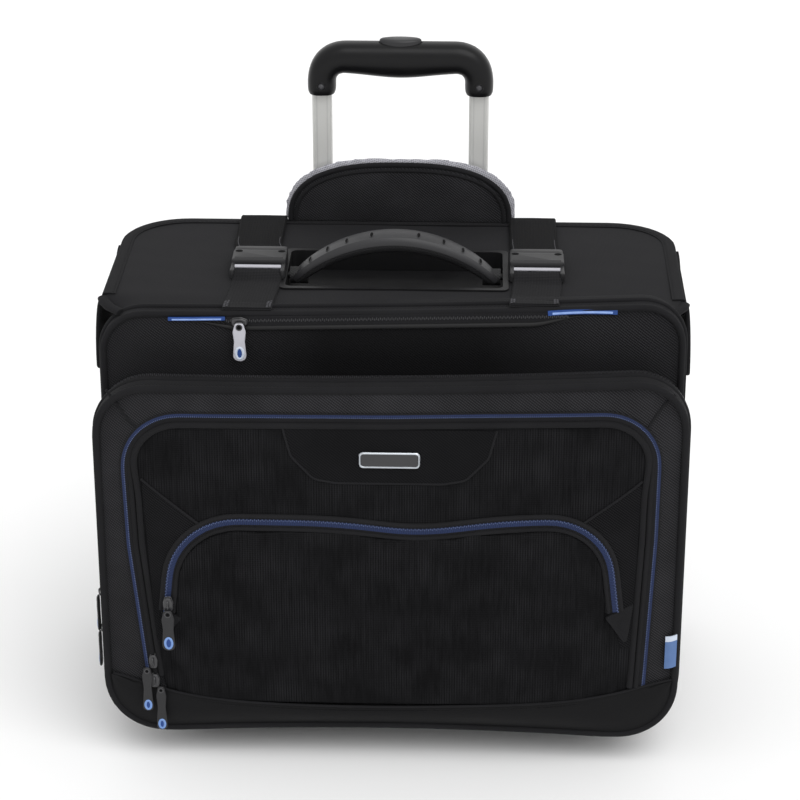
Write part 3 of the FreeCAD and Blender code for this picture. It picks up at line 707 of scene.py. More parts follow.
def spacer_mesh():
    """Light knitted mesh with rows of small holes, which are painted darker as shade."""
    look = Look("spacer_mesh", 0.8, 0.2, sheen=0.1)
    place = look.cloth_map()
    rows = look.waves(place, (1.0, 0.35), 1.5)
    columns = look.waves(place, (-0.35, 1.0), 1.5)
    height = look.times(rows, columns)
    share = look.times(height, 2.2, clamp=True)
    # painted shade: the holes, where the height peaks, are mixed towards the darker grey
    colour = look.mix(share, grey(0.46), grey(0.20))
    return look.finish(colour, look.bump(height, -0.5))


def moulded(name, dark, light, roughness, grain=0.05, size=1.2, specular=0.4, from_map=True):
    """Moulded plastic or rubber with a fine spark-eroded grain and slow wear."""
    look = Look(name, roughness, specular)
    place = look.cloth_map() if from_map else look.body_map()
    fine = look.cloud(place, size, detail=2.0)
    worn = look.cloud(look.body_map(), 22.0)
    colour = look.mix(worn, grey(dark), grey(light))
    rough = look.plus(look.times(worn, 0.2), roughness - 0.1)
    return look.finish(colour, look.bump(fine, grain), rough)


def grip_rubber():
    """Rubber with a raised diamond grain."""
    look = Look("grip_rubber", 0.62, 0.35)
    place = look.cloth_map()
    one = look.waves(place, (0.8, 0.6), 1.7)
    other = look.waves(place, (-0.8, 0.6), 1.7)
    diamonds = look.times(one, other)
    worn = look.cloud(look.body_map(), 20.0)
    return look.finish(look.mix(worn, grey(0.008), grey(0.014)), look.bump(diamonds, 0.22))


def brushed(name, colour, roughness, lengthwise=True):
    """Drawn or brushed metal: fine lines along the part."""
    look = Look(name, roughness, 0.5, metallic=1.0)
    stretch = (6.0, 6.0, 0.05) if lengthwise else (0.3, 6.0, 6.0)
    lines = look.cloud(look.body_map(), 1.2, detail=4.0, stretch=stretch)
    worn = look.cloud(look.body_map(), 60.0)
    shade = look.mix(worn, (*colour, 1), tuple(c * 0.86 for c in colour) + (1,))
    rough = look.plus(look.times(lines, 0.16), roughness - 0.08)
    return look.finish(shade, look.bump(lines, 0.02), rough)


def tube_metal():
    """Pale anodised tube with two drawn grooves down its face; the grooves are bumped and also painted darker
    as shade.
    """
    look = Look("tube_metal", 0.38, 0.5, metallic=0.3)
    tube_x, groove_off = 63.5, 4.2
    place = look.body_map()
    lines = look.cloud(place, 1.0, detail=4.0, stretch=(6.0, 6.0, 0.05))
    across = look.add("SeparateXYZ", {0: place})
    off = look.minus(look.math("ABSOLUTE", across), tube_x)
    groove = look.math("COMPARE", look.math("ABSOLUTE", off), groove_off)
    colour = look.mix(look.times(lines, 0.6), (0.60, 0.60, 0.58, 1), (0.52, 0.52, 0.505, 1))
    # painted shade: the grooves are darkened in colour as well as bumped
    colour = look.mix(look.times(groove, 0.35), colour, (0.38, 0.38, 0.38, 1))
    return look.finish(colour, look.bump(groove, -0.25, under=look.bump(lines, 0.02)))


def board():
    look = Look("board", 0.8, 0.2)
    fibre = look.cloud(look.body_map(), 4.0, detail=5.0, stretch=(0.4, 2.0, 1.0))
    return look.finish(look.mix(fibre, grey(0.02), grey(0.045)), look.bump(fibre, 0.2))


LOOKS = {
    "case": fabric("case", 0.008, 0.022, twill_weave, 0.35),
    "twill": fabric("twill", 0.0085, 0.041, twill_weave, 0.4),
    "front_twill_painted_shade": front_twill_painted_shade(),
    "pinstripe": fabric("pinstripe", 0.0040, 0.0165, pinstripe_weave, 0.2, mottle=0.12, specular=0.05,
                        sheen=0.0),
    "patch": fabric("patch", 0.0046, 0.0112, twill_weave, 0.12, specular=0.05, sheen=0.0),
    "corner": fabric("corner", 0.0040, 0.0165, twill_weave, 0.35, specular=0.05, sheen=0.0),
    "lid": fabric("lid", 0.0130, 0.0195, plain_weave, 0.1, mottle=0.2),
    "lining": fabric("lining", 0.030, 0.045, plain_weave, 0.1),
    "edge": fabric("edge", 0.005, 0.0155, herringbone_weave, 0.16),
    "tape": fabric("tape", 0.006, 0.017, herringbone_weave, 0.15),
    "satin": fabric("satin", 0.0035, 0.007, satin_weave, 0.08, roughness=0.5, specular=0.25),
    "webbing": fabric("webbing", 0.0070, 0.0215, webbing_weave, 0.35, roughness=0.75),
    "webbing_back": fabric("webbing_back", 0.0040, 0.0093, webbing_weave, 0.35, roughness=0.8, specular=0.05),
    "thread": fabric("thread", 0.07, 0.13, satin_weave, 0.1, roughness=0.6),
    "accent_thread": bright_blue("accent_thread", (0.045, 0.065, 0.15), (0.10, 0.135, 0.26)),
    "teeth": moulded("teeth", 0.020, 0.045, 0.4, specular=0.5),
    "accent": accent_tape(),
    "accent_line": bright_blue("accent_line", (0.16, 0.28, 0.62), (0.36, 0.50, 0.85)),
    "accent_dark": bright_blue("accent_dark", (0.006, 0.038, 0.18), (0.010, 0.060, 0.26)),
    "accent_ring": bright_blue("accent_ring", (0.13, 0.24, 0.52), (0.20, 0.33, 0.64)),
    "tag": bright_blue("tag", (0.07, 0.14, 0.31), (0.10, 0.18, 0.38)),
    # pale blue: the pale puller's ring, and the painted highlight along the label's top
    "pale_ring_and_painted_highlight": bright_blue("pale_ring_and_painted_highlight", (0.50, 0.56, 0.66), (0.62, 0.68, 0.78)),
    "hide": band_hide(),
    "mesh": spacer_mesh(),
    "handle_band": moulded("handle_band", 0.018, 0.026, 0.40, grain=0.03, specular=0.4),
    "grip_rubber": grip_rubber(),
    # near-black plates standing in for the dark inside of slots, recesses and eyelet holes: painted shade
    "hole": moulded("hole", 0.002, 0.004, 0.8, specular=0.1),
    "buckle": moulded("buckle", 0.010, 0.016, 0.42, grain=0.05, size=0.9, specular=0.4),
    # light grey of the buckle's webbing bar: a painted highlight
    "buckle_bar_painted_highlight": moulded("buckle_bar_painted_highlight", 0.36, 0.44, 0.3, specular=0.5),
    "slider": moulded("slider", 0.018, 0.035, 0.3, specular=0.6),
    "puller": moulded("puller", 0.010, 0.018, 0.5),
    "puller_grey": moulded("puller_grey", 0.42, 0.50, 0.35, grain=0.03),
    "badge_rim": brushed("badge_rim", (0.55, 0.58, 0.62), 0.3, lengthwise=False),
    "badge_face": moulded("badge_face", 0.020, 0.030, 0.35, specular=0.5),
    "grip": moulded("grip", 0.0045, 0.0065, 0.34, grain=0.03, size=0.9, specular=0.2),
    "moulded": moulded("moulded", 0.010, 0.017, 0.5, from_map=False),
    "tray": moulded("tray", 0.006, 0.010, 0.45, from_map=False, specular=0.25),
    "button": moulded("button", 0.014, 0.020, 0.38),
    "rubber": moulded("rubber", 0.012, 0.022, 0.75, grain=0.1, from_map=False, specular=0.2),
    "hub": moulded("hub", 0.04, 0.07, 0.4, from_map=False),
    "steel": brushed("steel", (0.50, 0.50, 0.52), 0.32),
    "dark_steel": brushed("dark_steel", (0.06, 0.06, 0.065), 0.4),
    "tube": tube_metal(),
    "board": board(),
}


def looks(*names):
    return [LOOKS[name] for name in names]


# ---------------------------------------------------------------- the organiser
POCKET_ZIP = rounded([(-189, 74, 0), (-200, 188, 150), (-203, 297, 44), (5, 298.4, 300), (202.5, 303.5, 42),
                      (202, 200, 200), (197, 70, 0)], closed=False)
LOWER_ZIP = rounded([(-173, 134, 0), (-164, 213, 56), (164, 217.5, 50), (174, 139, 0)], closed=False)


def pocket_line():
    """The large pocket's zip, from its lower left end over to its lower right end."""
    return spaced(POCKET_ZIP, step=4)


def closed_up(line):
    """0 down the sides of the large pocket's zip and 1 along its top, where its rolls draw together."""
    return ease((line[:, 1:] - 225) / 55)


def lower_line():
    """The lower pocket's zip, which dips in the middle."""
    line = spaced(LOWER_ZIP, step=4)
    line[:, 1] -= 7.5 * np.exp(-((line[:, 0] - 22) / 50) ** 2) * ease((line[:, 1] - 190) / 20)
    return line


def organiser_body():
    """Gusset and lining of the organiser."""
    back, front = ORGANISER[1][1], ORGANISER[0][1]
    gusset = Piece()
    outside = [(4.5, back - 0.6), (1.0, back - 0.4), (0.2, back - 1.6), (0.0, back - 9), (0.8, back - 12),
               (-0.4, back - 17), (-0.6, back - 24), (0.2, back - 31), (1.6, front + 5), (4.2, front + 3)]
    rows = [upright_ring(organiser_ring(inset, y), y) for inset, y in outside]
    gusset.grid(rows, closed=True)
    gusset.object("organiser_gusset", looks("case"), "organiser", ["organiser_shell"], "case_fabric",
                  project=True)
    lining = Piece()
    inside = [(1.2, back - 1.0), (4.5, back - 0.7), (5.0, back - 3), (5.5, front + 8), (9.0, front + 5.5)]
    lining.grid([upright_ring(organiser_ring(inset, y), y) for inset, y in inside], closed=True)
    edge = organiser_ring(*inside[-1])
    middle = np.array((0.0, ORGANISER_MIDDLE))
    panel = [upright_ring(middle + (edge - middle) * share, inside[-1][1]) for share in (1.0, 0.7, 0.4, 0.05)]
    lining.grid(panel, closed=True)
    lining.object("organiser_lining", looks("lining"), "organiser", ["organiser_shell"], "case_fabric",
                  project=True)


def organiser_rolls():
    """Piping round the gusset: one behind the side panel and one at the front edge."""
    piping = Piece()
    for inset, y, radius in ((0.0, ORGANISER[1][1] - 20, 2.3), (2.8, ORGANISER[0][1] + 1.8, 2.8)):
        ring = organiser_ring(inset, y)
        piping.roll(upright_ring(ring, y), radius, upright_ring(loop_normals(ring), 0), closed=True)
    piping.bind("organiser_piping", "organiser", "organiser_shell")


def organiser_side_zip():
    """The zip between the organiser and the case, round the sides and top."""
    y = ORGANISER[1][1] - 6
    end_x, end_z = 224, 86
    ring = organiser_ring(0.0, y)
    ring = np.roll(ring, -nearest(ring, end_x, end_z), axis=0)
    ring = ring[:nearest(ring, -end_x, end_z) + 1]
    ahead = unit(np.gradient(ring, axis=0))
    out = upright_ring(np.column_stack([ahead[:, 1], -ahead[:, 0]]), 0)
    zip_piece = Piece()
    path = upright_ring(ring, y)
    zip_piece.sweep(path, tape_profile(7.5, 0.8), out)
    zip_piece.dotted(path + out * 1.2, out, 1.5, (0.8, 2.6, 1.0), weave=0.5, slot=1)
    zip_piece.object("organiser_side_zip", looks("tape", "teeth"), "organiser", ["organiser_zip"], "zip_tape")


def organiser_front():
    """The twill face and the seams across its upper corners."""
    face = Piece()
    face.disc(organiser_ring(4.6), organiser_face, rings=34)
    made = face.object("organiser_face", looks("twill"), "organiser", ["organiser_shell"], "twill_fabric",
                       project=True)
    seams = Piece()
    for line in (((-212, 315), (-206, 306), (-197, 293), (-187, 284)),
                 ((212, 317), (205, 310), (198, 300), (190, 286))):
        path = on_face(organiser_face, spaced(np.array(line, float), step=3), 0.3)
        seams.sweep(path, round_profile(1.1, 1.0), FORWARD)
    seams.bind("organiser_corner_seams", "organiser", "organiser_shell")


def pocket_zip():
    """Blue zip round the large pocket, its tape, and the rolls inside it, which close up along the top."""
    line = pocket_line()
    tape = Piece()
    tape.sweep(on_face(organiser_face, beside(line, 2.2), 0.2), tape_profile(9, 0.9), FORWARD)
    tape.object("pocket_zip_tape", looks("tape"), "organiser", ["pocket_zip"], "zip_tape")
    teeth = Piece()
    teeth.sweep(on_face(organiser_face, line, 1.0), tape_profile(2.4, 0.5), FORWARD)
    teeth.dotted(on_face(organiser_face, beside(line, 1.0), 1.5), FORWARD, 1.5, (0.8, 0.9, 0.6), slot=1)
    teeth.object("pocket_zip_teeth", looks("accent", "accent_thread"), "organiser", ["pocket_zip"],
                 "accent_tape")
    rolls = Piece()
    top = closed_up(line)
    rolls.roll(on_face(organiser_face, beside(line, 6.2 - 1.2 * top), 1.4 - 2.2 * top[:, 0]), 2.0, FORWARD)
    rolls.roll(on_face(organiser_face, beside(line, 10.8 - 3.4 * top), 1.9), 2.4, FORWARD)
    rolls.bind("pocket_piping", "organiser", "pocket_panel")


def pocket():
    """The large pocket's pinstripe panel, with its twill lower corners and top patch."""
    line = pocket_line()
    line = beside(line, 12.0 - 3.2 * closed_up(line))
    outline = spaced(np.vstack([line, [(182, 56), (-174, 56)]]), count=320, closed=True)[::-1]
    panel = Piece()
    panel.disc(outline, pocket_face, rings=30)
    made = panel.object("pocket_panel_cloth", looks("pinstripe"), "organiser", ["pocket_panel"],
                        "pinstripe_fabric", project=True)
    corner = Piece()
    seams = Piece()
    outlines = (
        [(-188, 245, 2), (-141, 206, 4), (-156, 190, 20), (-165, 150, 10), (-168, 106, 1), (-181, 106, 1)],
        [(190, 248, 2), (142, 211, 4), (156, 193, 20), (166, 150, 10), (178, 106, 1), (186, 106, 1)],
    )
    for corners in outlines:
        shape = outline_of(corners, 120)
        corner.disc(shape, pocket_face, lift=0.5, edge=0.9, rings=14)
        seam = np.array([corners[0][:2], corners[1][:2]], float)
        seams.sweep(on_face(pocket_face, spaced(seam, step=3), 0.7), round_profile(1.0, 0.8), FORWARD)
    corner.object("pocket_corner_cloth", looks("corner"), "organiser", ["pocket_panel"], "twill_fabric",
                  project=True)
    half = [(40, 246, 8), (57, 249, 10), (74, 267, 9), (80, 289, 0)]
    outline = [(-x, z, r) for x, z, r in half[::-1]] + half
    patch_line = outline_of(outline, 140)
    patch = Piece()
    patch.disc(patch_line, pocket_face, lift=0.7, edge=1.0, rings=16)
    patch.object("pocket_patch", looks("patch"), "organiser", ["pocket_panel"], "twill_fabric", project=True)
    hem = spaced(rounded(outline, closed=False), step=3)
    seams.sweep(on_face(pocket_face, hem, 0.6), round_profile(0.9, 0.7), FORWARD)
    seams.bind("pocket_seams", "organiser", "pocket_panel")


def lower_pocket():
    """The small pocket in front, its zip and tape, and the tabs over the zip's ends."""
    line = lower_line()
    tape = Piece()
    tape.sweep(on_face(pocket_face, beside(line, 2.5), 0.6), tape_profile(13, 1.0), FORWARD)
    tape.roll(on_face(pocket_face, beside(line, -3.6), 0.7), 1.7, FORWARD)
    tape.object("lower_zip_tape", looks("tape"), "organiser", ["lower_pocket_zip"], "zip_tape")
    teeth = Piece()
    teeth.sweep(on_face(pocket_face, beside(line, 1.0), 1.5), tape_profile(4.6, 0.6), FORWARD)
    teeth.dotted(on_face(pocket_face, beside(line, -0.7), 2.2), FORWARD, 1.45, (0.75, 1.2, 0.7), weave=0.25,
                 slot=1)
    teeth.object("lower_zip_teeth", looks("accent", "accent_thread"), "organiser", ["lower_pocket_zip"],
                 "accent_tape")
    top = beside(line, 7.4)
    foot = [(165, 131), (172, 112), (179, 90), (178, 54), (-170, 54), (-172, 90), (-172, 112), (-164, 130)]
    outline = spaced(np.vstack([top, foot]), count=320, closed=True)[::-1]
    panel = Piece()
    panel.disc(outline, lower_face, edge=8.0, rings=30)
    made = panel.object("lower_pocket_cloth", looks("pinstripe"), "organiser", ["lower_pocket_panel"],
                        "pinstripe_fabric", project=True)

    under_band = 74

    def sewn(points):
        behind = points[:, 1] > lower_face(points[:, 0], points[:, 2]) + 1.5
        return behind | (points[:, 2] < under_band)
    puff(made, 4.0, 4.0, 1.5, sewn)
    edge = Piece()
    edge.sweep(on_face(pocket_face, beside(line, 6.4), 2.2), round_profile(1.5, 1.5), FORWARD)
    tabs = ([(-176.5, 134, 1), (-174, 110, 3), (-159.5, 130, 1)],
            [(165, 134, 1), (182, 108, 2), (187, 145, 1)])
    for corners in tabs:
        shape = outline_of(corners, 60)
        edge.disc(shape, lower_face, lift=0.5, edge=2.6, rings=8)
    edge.bind("lower_pocket_edge", "organiser", "lower_pocket_panel")


def averaged(values, reach):
    """A row of values evened out, each with the values up to reach places to either side."""
    count = 2 * reach + 1
    return np.convolve(np.pad(values, reach, mode="edge"), np.ones(count) / count, mode="valid")


def bottom_band():
    """Coated band across the foot of the organiser, over the ends of the pockets."""
    points = np.array([(-217, 76.5), (-198, 69), (-181, 62.5), (-164, 59.7), (-130, 56.4), (-95, 54),
                       (-44, 52), (8, 52), (70, 55), (117, 58.3), (164, 62.7), (194, 68.7), (219, 78)])
    x = np.linspace(points[0, 0], points[-1, 0], 120)
    top = np.column_stack([x, averaged(np.interp(x, points[:, 0], points[:, 1]), 6)])
    ring = organiser_ring(5.0)
    ring = np.roll(ring, -nearest(ring, -217.5, 76), axis=0)
    base = spaced(ring[:nearest(ring, 217.5, 77) + 1], count=len(x))
    over_pocket = np.abs(x) < 178
    inner = np.where(over_pocket, lower_face(x, top[:, 1]), pocket_face(x, top[:, 1]))
    inner = averaged(np.minimum(inner, -130), 8)
    rows = [np.column_stack([top[:, 0], inner + 3.0, top[:, 1] - 1.5]),
            np.column_stack([top[:, 0], inner - 0.6, top[:, 1] - 0.6]),
            np.column_stack([top[:, 0], inner - 1.1, top[:, 1] - 2.2])]
    for share in np.linspace(0.12, 1.0, 12):
        line = top + (base - top) * share
        out = (inner - 1.1) * (1 - share) + (ORGANISER[0][1] + 0.4) * share - 2.2 * sin(pi * share)
        rows.append(np.column_stack([line[:, 0], out, line[:, 1]]))
    back = rows[-1].copy()
    back[:, 1] += 2.0
    rows.append(back)
    band = Piece()
    band.grid(rows, looped=True)
    made = band.object("bottom_band", looks("hide"), "organiser", ["organiser_shell"], "case_fabric",
                       project=True)
    seam = np.column_stack([top[:, 0], inner - 0.9, top[:, 1] + 0.2])
    trim = Piece()
    trim.sweep(seam, round_profile(1.0, 0.9), FORWARD)
    trim.dotted(seam + (0, -0.4, -4.0), FORWARD, 3.4, (2.4, 0.5, 0.4))
    trim.bind("bottom_band_seam", "organiser", "organiser_shell")


def badge_plate():
    """Blank badge: a bright bevelled rim round a dark face."""
    low, high = span("badge")
    middle = (low + high) / 2
    back = min(high[1], pocket_face(middle[0], middle[2]) + 0.3)
    plate = Piece()
    steps = ((0.0, 0.0), (0.0, 1.4), (0.5, 2.0), (1.2, 2.0), (1.6, 1.4))
    rings = []
    for inset, out in steps:
        radius = 3 - inset * 0.6
        corners = block_corners(high[0] - inset, low[2] + inset, high[2] - inset, radius, radius)
        rings.append(upright_ring(outline_of(corners, 80), back - out))
    plate.grid(rings, closed=True, ends=True)
    plate.inlay(rings[-1] + FORWARD * 0.15, FORWARD, slot=1)
    plate.object("badge_plate", looks("badge_rim", "badge_face"), "organiser", ["badge"], "badge_metal")


def side_label():
    """Small blank folded label sewn into the right edge, with a painted highlight along its top."""
    low, high = span("side_tag")
    label = Piece()
    x = np.linspace(low[0] + 0.5, high[0] + 1.5, 8)
    y = ORGANISER[0][1] - 1.6 - 1.2 * np.sin(np.linspace(0, 1, 8) * pi)
    # painted highlight: the top 4.5 mm of the label, along its fold, takes the pale material
    highlight_from = high[2] - 4.5
    for z0, z1, slot in ((low[2], highlight_from, 0), (highlight_from, high[2], 1)):
        rows = []
        for z in np.linspace(z0, z1, 6):
            rows.append(folded(np.column_stack([x, y, z + (x - x[0]) * 0.25]), (0, 0.9, 0)))
        label.grid(rows, closed=True, ends=True, slot=slot)
    label.object("side_label", looks("tag", "pale_ring_and_painted_highlight"), "organiser", ["side_tag"], "tag_fabric")


def organiser_hinge_cloth():
    """Cloth web along the foot, from the case's front to the organiser's back edge."""
    hinge = next(joint for joint in frame["joints"] if joint["child"] == "organiser")
    y, z = hinge["pos_m"][1] / MM, hinge["pos_m"][2] / MM
    half_width, half_depth = 176, 9
    x = np.linspace(-half_width, half_width, 60)
    rows = []
    for share in np.linspace(0, 1, 15):
        along = y + half_depth * (2 * share - 1)
        sag = 0.8 + 1.2 * sin(pi * share)
        rows.append(np.column_stack([x, np.full(60, along), np.full(60, ORGANISER[0][2] - sag)]))
    web = Piece()
    web.grid([folded(row, (0, 0, -1.2)) for row in rows], closed=True, ends=True)
    made = web.object("organiser_hinge_cloth", looks("case"), None, slot="case_fabric", project=True)
    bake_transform(made)


# ---------------------------------------------------------------- the case
def case_ring(z, inset=0.0):
    """The case in plan at height z, inset inwards; narrower near the floor, where its edges round under."""
    radius = CASE_FOOT_RADIUS - inset
    low = SHELL[0][2] + inset
    up = np.clip(z - low, 0, radius)
    half = SHELL[1][0] - inset - (radius - np.sqrt(radius ** 2 - (radius - up) ** 2))
    front, back = SHELL[0][1] + inset, SHELL[1][1] - inset
    corners = block_corners(half, front, back, 2, CASE_BACK_RADIUS - inset)
    return outline_of(corners, 260)


def case_walls():
    """Outer cloth and lining of the main compartment, notched for the wheel housings."""
    bottom, top = SHELL[0][2], SHELL[1][2]
    walls = Piece()
    foot = [bottom + rise for rise in (0, 1, 4, 9, 16, 26, 38)]
    upper = list(np.linspace(bottom + 48, top, 16))

    def outside(z):
        ring = case_ring(z)
        fill = 1.4 * sin(pi * np.clip((z - bottom - 20) / (top - bottom - 20), 0, 1))
        behind_front = np.abs(ring[:, 1:2]) < 104
        return level_ring(ring + loop_normals(ring) * fill * behind_front, z)

    def level_floor(z, inset):
        middle, ring = (0.0, 20.0), case_ring(z, inset)
        return [level_ring(middle + (ring - middle) * share, z) for share in (1.0, 0.6, 0.1)]
    outer = [outside(z) for z in foot + upper]
    inner_heights = [z + LINING_INSET for z in foot] + upper
    inner = [level_ring(case_ring(z, LINING_INSET), z) for z in inner_heights][::-1]
    walls.grid(outer[len(foot) - 1:] + inner, closed=True)
    walls.grid(outer[:len(foot)], closed=True, slot=1)
    walls.grid(level_floor(bottom, 0.0), closed=True, slot=1)
    walls.grid(level_floor(bottom + LINING_INSET, LINING_INSET), closed=True)
    work = walls.object("case_walls", looks("case", "hide"), None, slot="case_fabric", project=True)
    weld(work)
    gap, past = 0.4, 12.0
    for side, out in (("left", -past), ("right", past)):
        low, high = span("wheel_housing_" + side)
        carve(work, box_rings(low + (min(out, -gap), -gap, -past), high + (max(out, gap), past, gap)))
    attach(work, "case")
    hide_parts("main_shell")


def weld(piece):
    """Joins points that lie together and closes the holes left open."""
    work = bmesh.new()
    work.from_mesh(piece.data)
    bmesh.ops.remove_doubles(work, verts=work.verts, dist=0.02 * MM)
    bmesh.ops.holes_fill(work, edges=[e for e in work.edges if e.is_boundary], sides=0)
    bmesh.ops.recalc_face_normals(work, faces=work.faces)
    work.to_mesh(piece.data)
    work.free()


def case_rim():
    """Rolled edge round the open top of the case, piping where the sides meet the front, and side seams."""
    rim = Piece()
    ring = case_ring(SHELL[1][2], 1.6)
    rim.roll(level_ring(ring, SHELL[1][2] - 1.5), 2.1, UPWARD, closed=True)
    for inset, y, radius in ((2.6, FRONT[0][1] + 2.6, 2.6), (0.2, FRONT[0][1] + 12, 2.2)):
        ring = front_ring(inset)
        rim.roll(upright_ring(ring, y), radius, upright_ring(loop_normals(ring), 0), closed=True)
    for side in (-1, 1):
        x, y = side * (SHELL[1][0] + 1.1), SHELL[1][1] - 50
        seam = np.linspace((x, y, SHELL[0][2] + 74), (x, y, SHELL[1][2] - 4), 30)
        rim.roll(seam, 1.5, (side, 0.0, 0.0))
        x, z = side * (SHELL[1][0] + 0.4), SHELL[0][2] + 43
        foot = np.linspace((x, SHELL[0][1] + 3, z), (x, 70, z), 20)
        rim.roll(foot, 1.5, (side, 0.0, 0.0))
    rim.bind("case_piping", "case", "front_pocket_shell")


def upper_face(x, z):
    """Face of the upper front pocket, which stays behind the organiser."""
    depth = swell(FRONT_HALF - 3, FRONT[0][2], FRONT[1][2] + 4, FRONT[0][1] + 3.0, 2.3, 0.4, 0.05)(x, z)
    fill = 1.6 * np.sin(pi * np.clip((z - 322) / 44, 0, 1)) * ease((216 - np.abs(x)) / 30)
    return depth - fill


def upper_front():
    """The upper front pocket: its face, and its gusset with the inside turned back."""
    face = Piece()
    face.disc(front_ring(4.4), upper_face, rings=40)
    made = face.object("upper_front_cloth", looks("front_twill_painted_shade"), "case", ["front_pocket_shell"],
                       "twill_fabric", project=True)
    gusset = Piece()
    front, back = FRONT[0][1], FRONT[1][1]
    steps = [(6.0, front + 3.5), (1.0, front + 5), (0.4, front + 9), (0.0, front + 16), (0.6, front + 22),
             (2.0, back - 0.4), (6.0, back - 0.2), (6.5, front + 8)]
    gusset.grid([upright_ring(front_ring(inset), y) for inset, y in steps], closed=True, looped=True)
    gusset.object("upper_front_gusset", looks("case"), "case", ["front_pocket_shell"], "case_fabric",
                  project=True)


def front_zip_height(x):
    """Height of the front zip, which climbs a little to the right."""
    return 357 + 6 * (x + 124) / 240


def front_zip():
    """Zip across the upper pocket, the satin welt below it, and the blue strips beyond its ends."""
    x = np.linspace(-124, 132, 70)
    line = np.column_stack([x, front_zip_height(x)])
    piece = Piece()
    piece.sweep(on_face(upper_face, line - (0, 1.0), 0.3), tape_profile(8.5, 0.8), FORWARD)
    piece.sweep(on_face(upper_face, line, 0.9), tape_profile(3.8, 0.5), FORWARD)
    piece.dotted(on_face(upper_face, line, 1.5), FORWARD, 1.45, (0.75, 2.1, 0.6), weave=0.35, slot=1)
    welt_x = np.linspace(-150, 142, 90)
    share = np.linspace(0, 1, 90)
    full = ease(share / 0.13) * ease((1 - share) / 0.13)
    middle_z = front_zip_height(welt_x) - 0.5 - 5.6 * full
    rows = []
    for angle in turns(12):
        height = (0.6 + 1.5 * full) * np.sin(angle)
        out = (0.5 + 1.3 * full) * np.cos(angle)
        rows.append(on_face(upper_face, np.column_stack([welt_x, middle_z + height]), 0.2 + out))
    piece.grid(np.array(rows).transpose(1, 0, 2), closed=True, ends=True, slot=2)
    piece.object("front_zip_cloth", looks("tape", "teeth", "satin"), "case", ["front_zip"], "zip_tape")
    strips = Piece()
    for x0, x1, wide, raised in ((-168, -125, 2.9, 0.6), (117, 169, 4.0, 1.2)):
        x = np.linspace(x0, x1, 16)
        arch = 0.8 * np.sin(np.linspace(0, pi, 16)) * (x0 > 0)
        line = np.column_stack([x, front_zip_height(x) + 1.6 + raised + arch])
        strips.sweep(on_face(upper_face, line, 1.6), tape_profile(wide, 1.2), FORWARD)
        stripe = on_face(upper_face, line[1:-1] - (0, 0.3), 2.7)
        strips.sweep(stripe, tape_profile(wide * 0.42, 0.4), FORWARD, slot=1)
    strips.object("front_zip_strips", looks("accent_dark", "accent_line"), "case", ["front_zip"],
                  "accent_tape")


# ---------------------------------------------------------------- the lid
def lid_height(x, y):
    """Top of the lid and of the strip that joins it to the front's top edge."""
    lid_depth = 168
    crown = 0.7 * np.sin(np.clip((y - CREASE_Y) / lid_depth, 0, 1) * pi) + ripple(x, y * 1.4, 0.45)
    forward = ease((CREASE_Y + 3 - y) / 30)
    return (LID_TOP + crown) * (1 - forward) + (front_top(x) - 0.8) * forward


def lid_ring():
    """The lid in plan, just inside its binding."""
    inset = 0.2
    half, front, back = LID[1][0] - inset, LID[0][1] + inset * 0.2, LID[1][1] - inset
    corners = block_corners(half, front, back, 1, LID_BACK_RADIUS - inset)
    return outline_of(corners, 300)


def lid_cloth():
    """The lid's cloth-covered board, with the opening for the handle's tray."""
    lap = 1.6
    opening = block_corners(TRAY[1][0] - lap, TRAY[0][1] + lap, TRAY[1][1] - lap, 5, 5)
    inner = outline_of(opening, 300)
    outer = lid_ring()
    bottom = LID[0][2] + 0.2
    rows = [level_ring(inner, bottom)]
    for share in np.linspace(0, 1, 14):
        ring = inner + (outer - inner) * share
        height = lid_height(ring[:, 0], np.maximum(ring[:, 1], CREASE_Y + 2))
        rows.append(np.column_stack([ring, height - 0.2]))
    rows.append(level_ring(outer, bottom))
    rows.append(level_ring(inner + (outer - inner) * 0.5, bottom))
    cloth = Piece()
    cloth.grid(rows, closed=True, looped=True)
    made = cloth.object("lid_cloth", looks("lid"), "lid", ["lid_panel"], "case_fabric", project=True)


def lid_edge_path():
    """The lid's bound edge from the front left corner round the back to the front right, in plan."""
    half, back = BINDING[1][0] - 0.5, BINDING[1][1] - 0.5
    radius, start = LID_BACK_RADIUS + 1, CREASE_Y + 1
    corners = [(-half, start, 0), (-half, back, radius), (half, back, radius), (half, start, 0)]
    return spaced(rounded(corners, closed=False), step=3.5)


def lid_edge():
    """Binding folded over the lid's edge, stitched along its inner side."""
    path = lid_edge_path()
    middle = (BINDING[0][2] + BINDING[1][2]) / 2
    profile = np.array([(9.6, 2.1), (9.6, 2.9), (5, 3.2), (1.2, 3.2), (-0.2, 2.2), (-0.6, 0.0), (-0.2, -2.2),
                        (1.2, -2.9), (9.6, -2.8), (9.6, -2.1), (1.6, -1.9), (0.9, 0.0), (1.6, 2.1)])
    binding = Piece()
    binding.sweep(level_ring(path, middle), profile, UPWARD)
    inner = beside(path, 7.6)
    binding.dotted(level_ring(inner, middle + 3.1), UPWARD, 3.6, (2.6, 0.5, 0.35), slot=1)
    binding.object("lid_edge", looks("edge", "tape"), "lid", ["lid_binding"], "edge_binding")


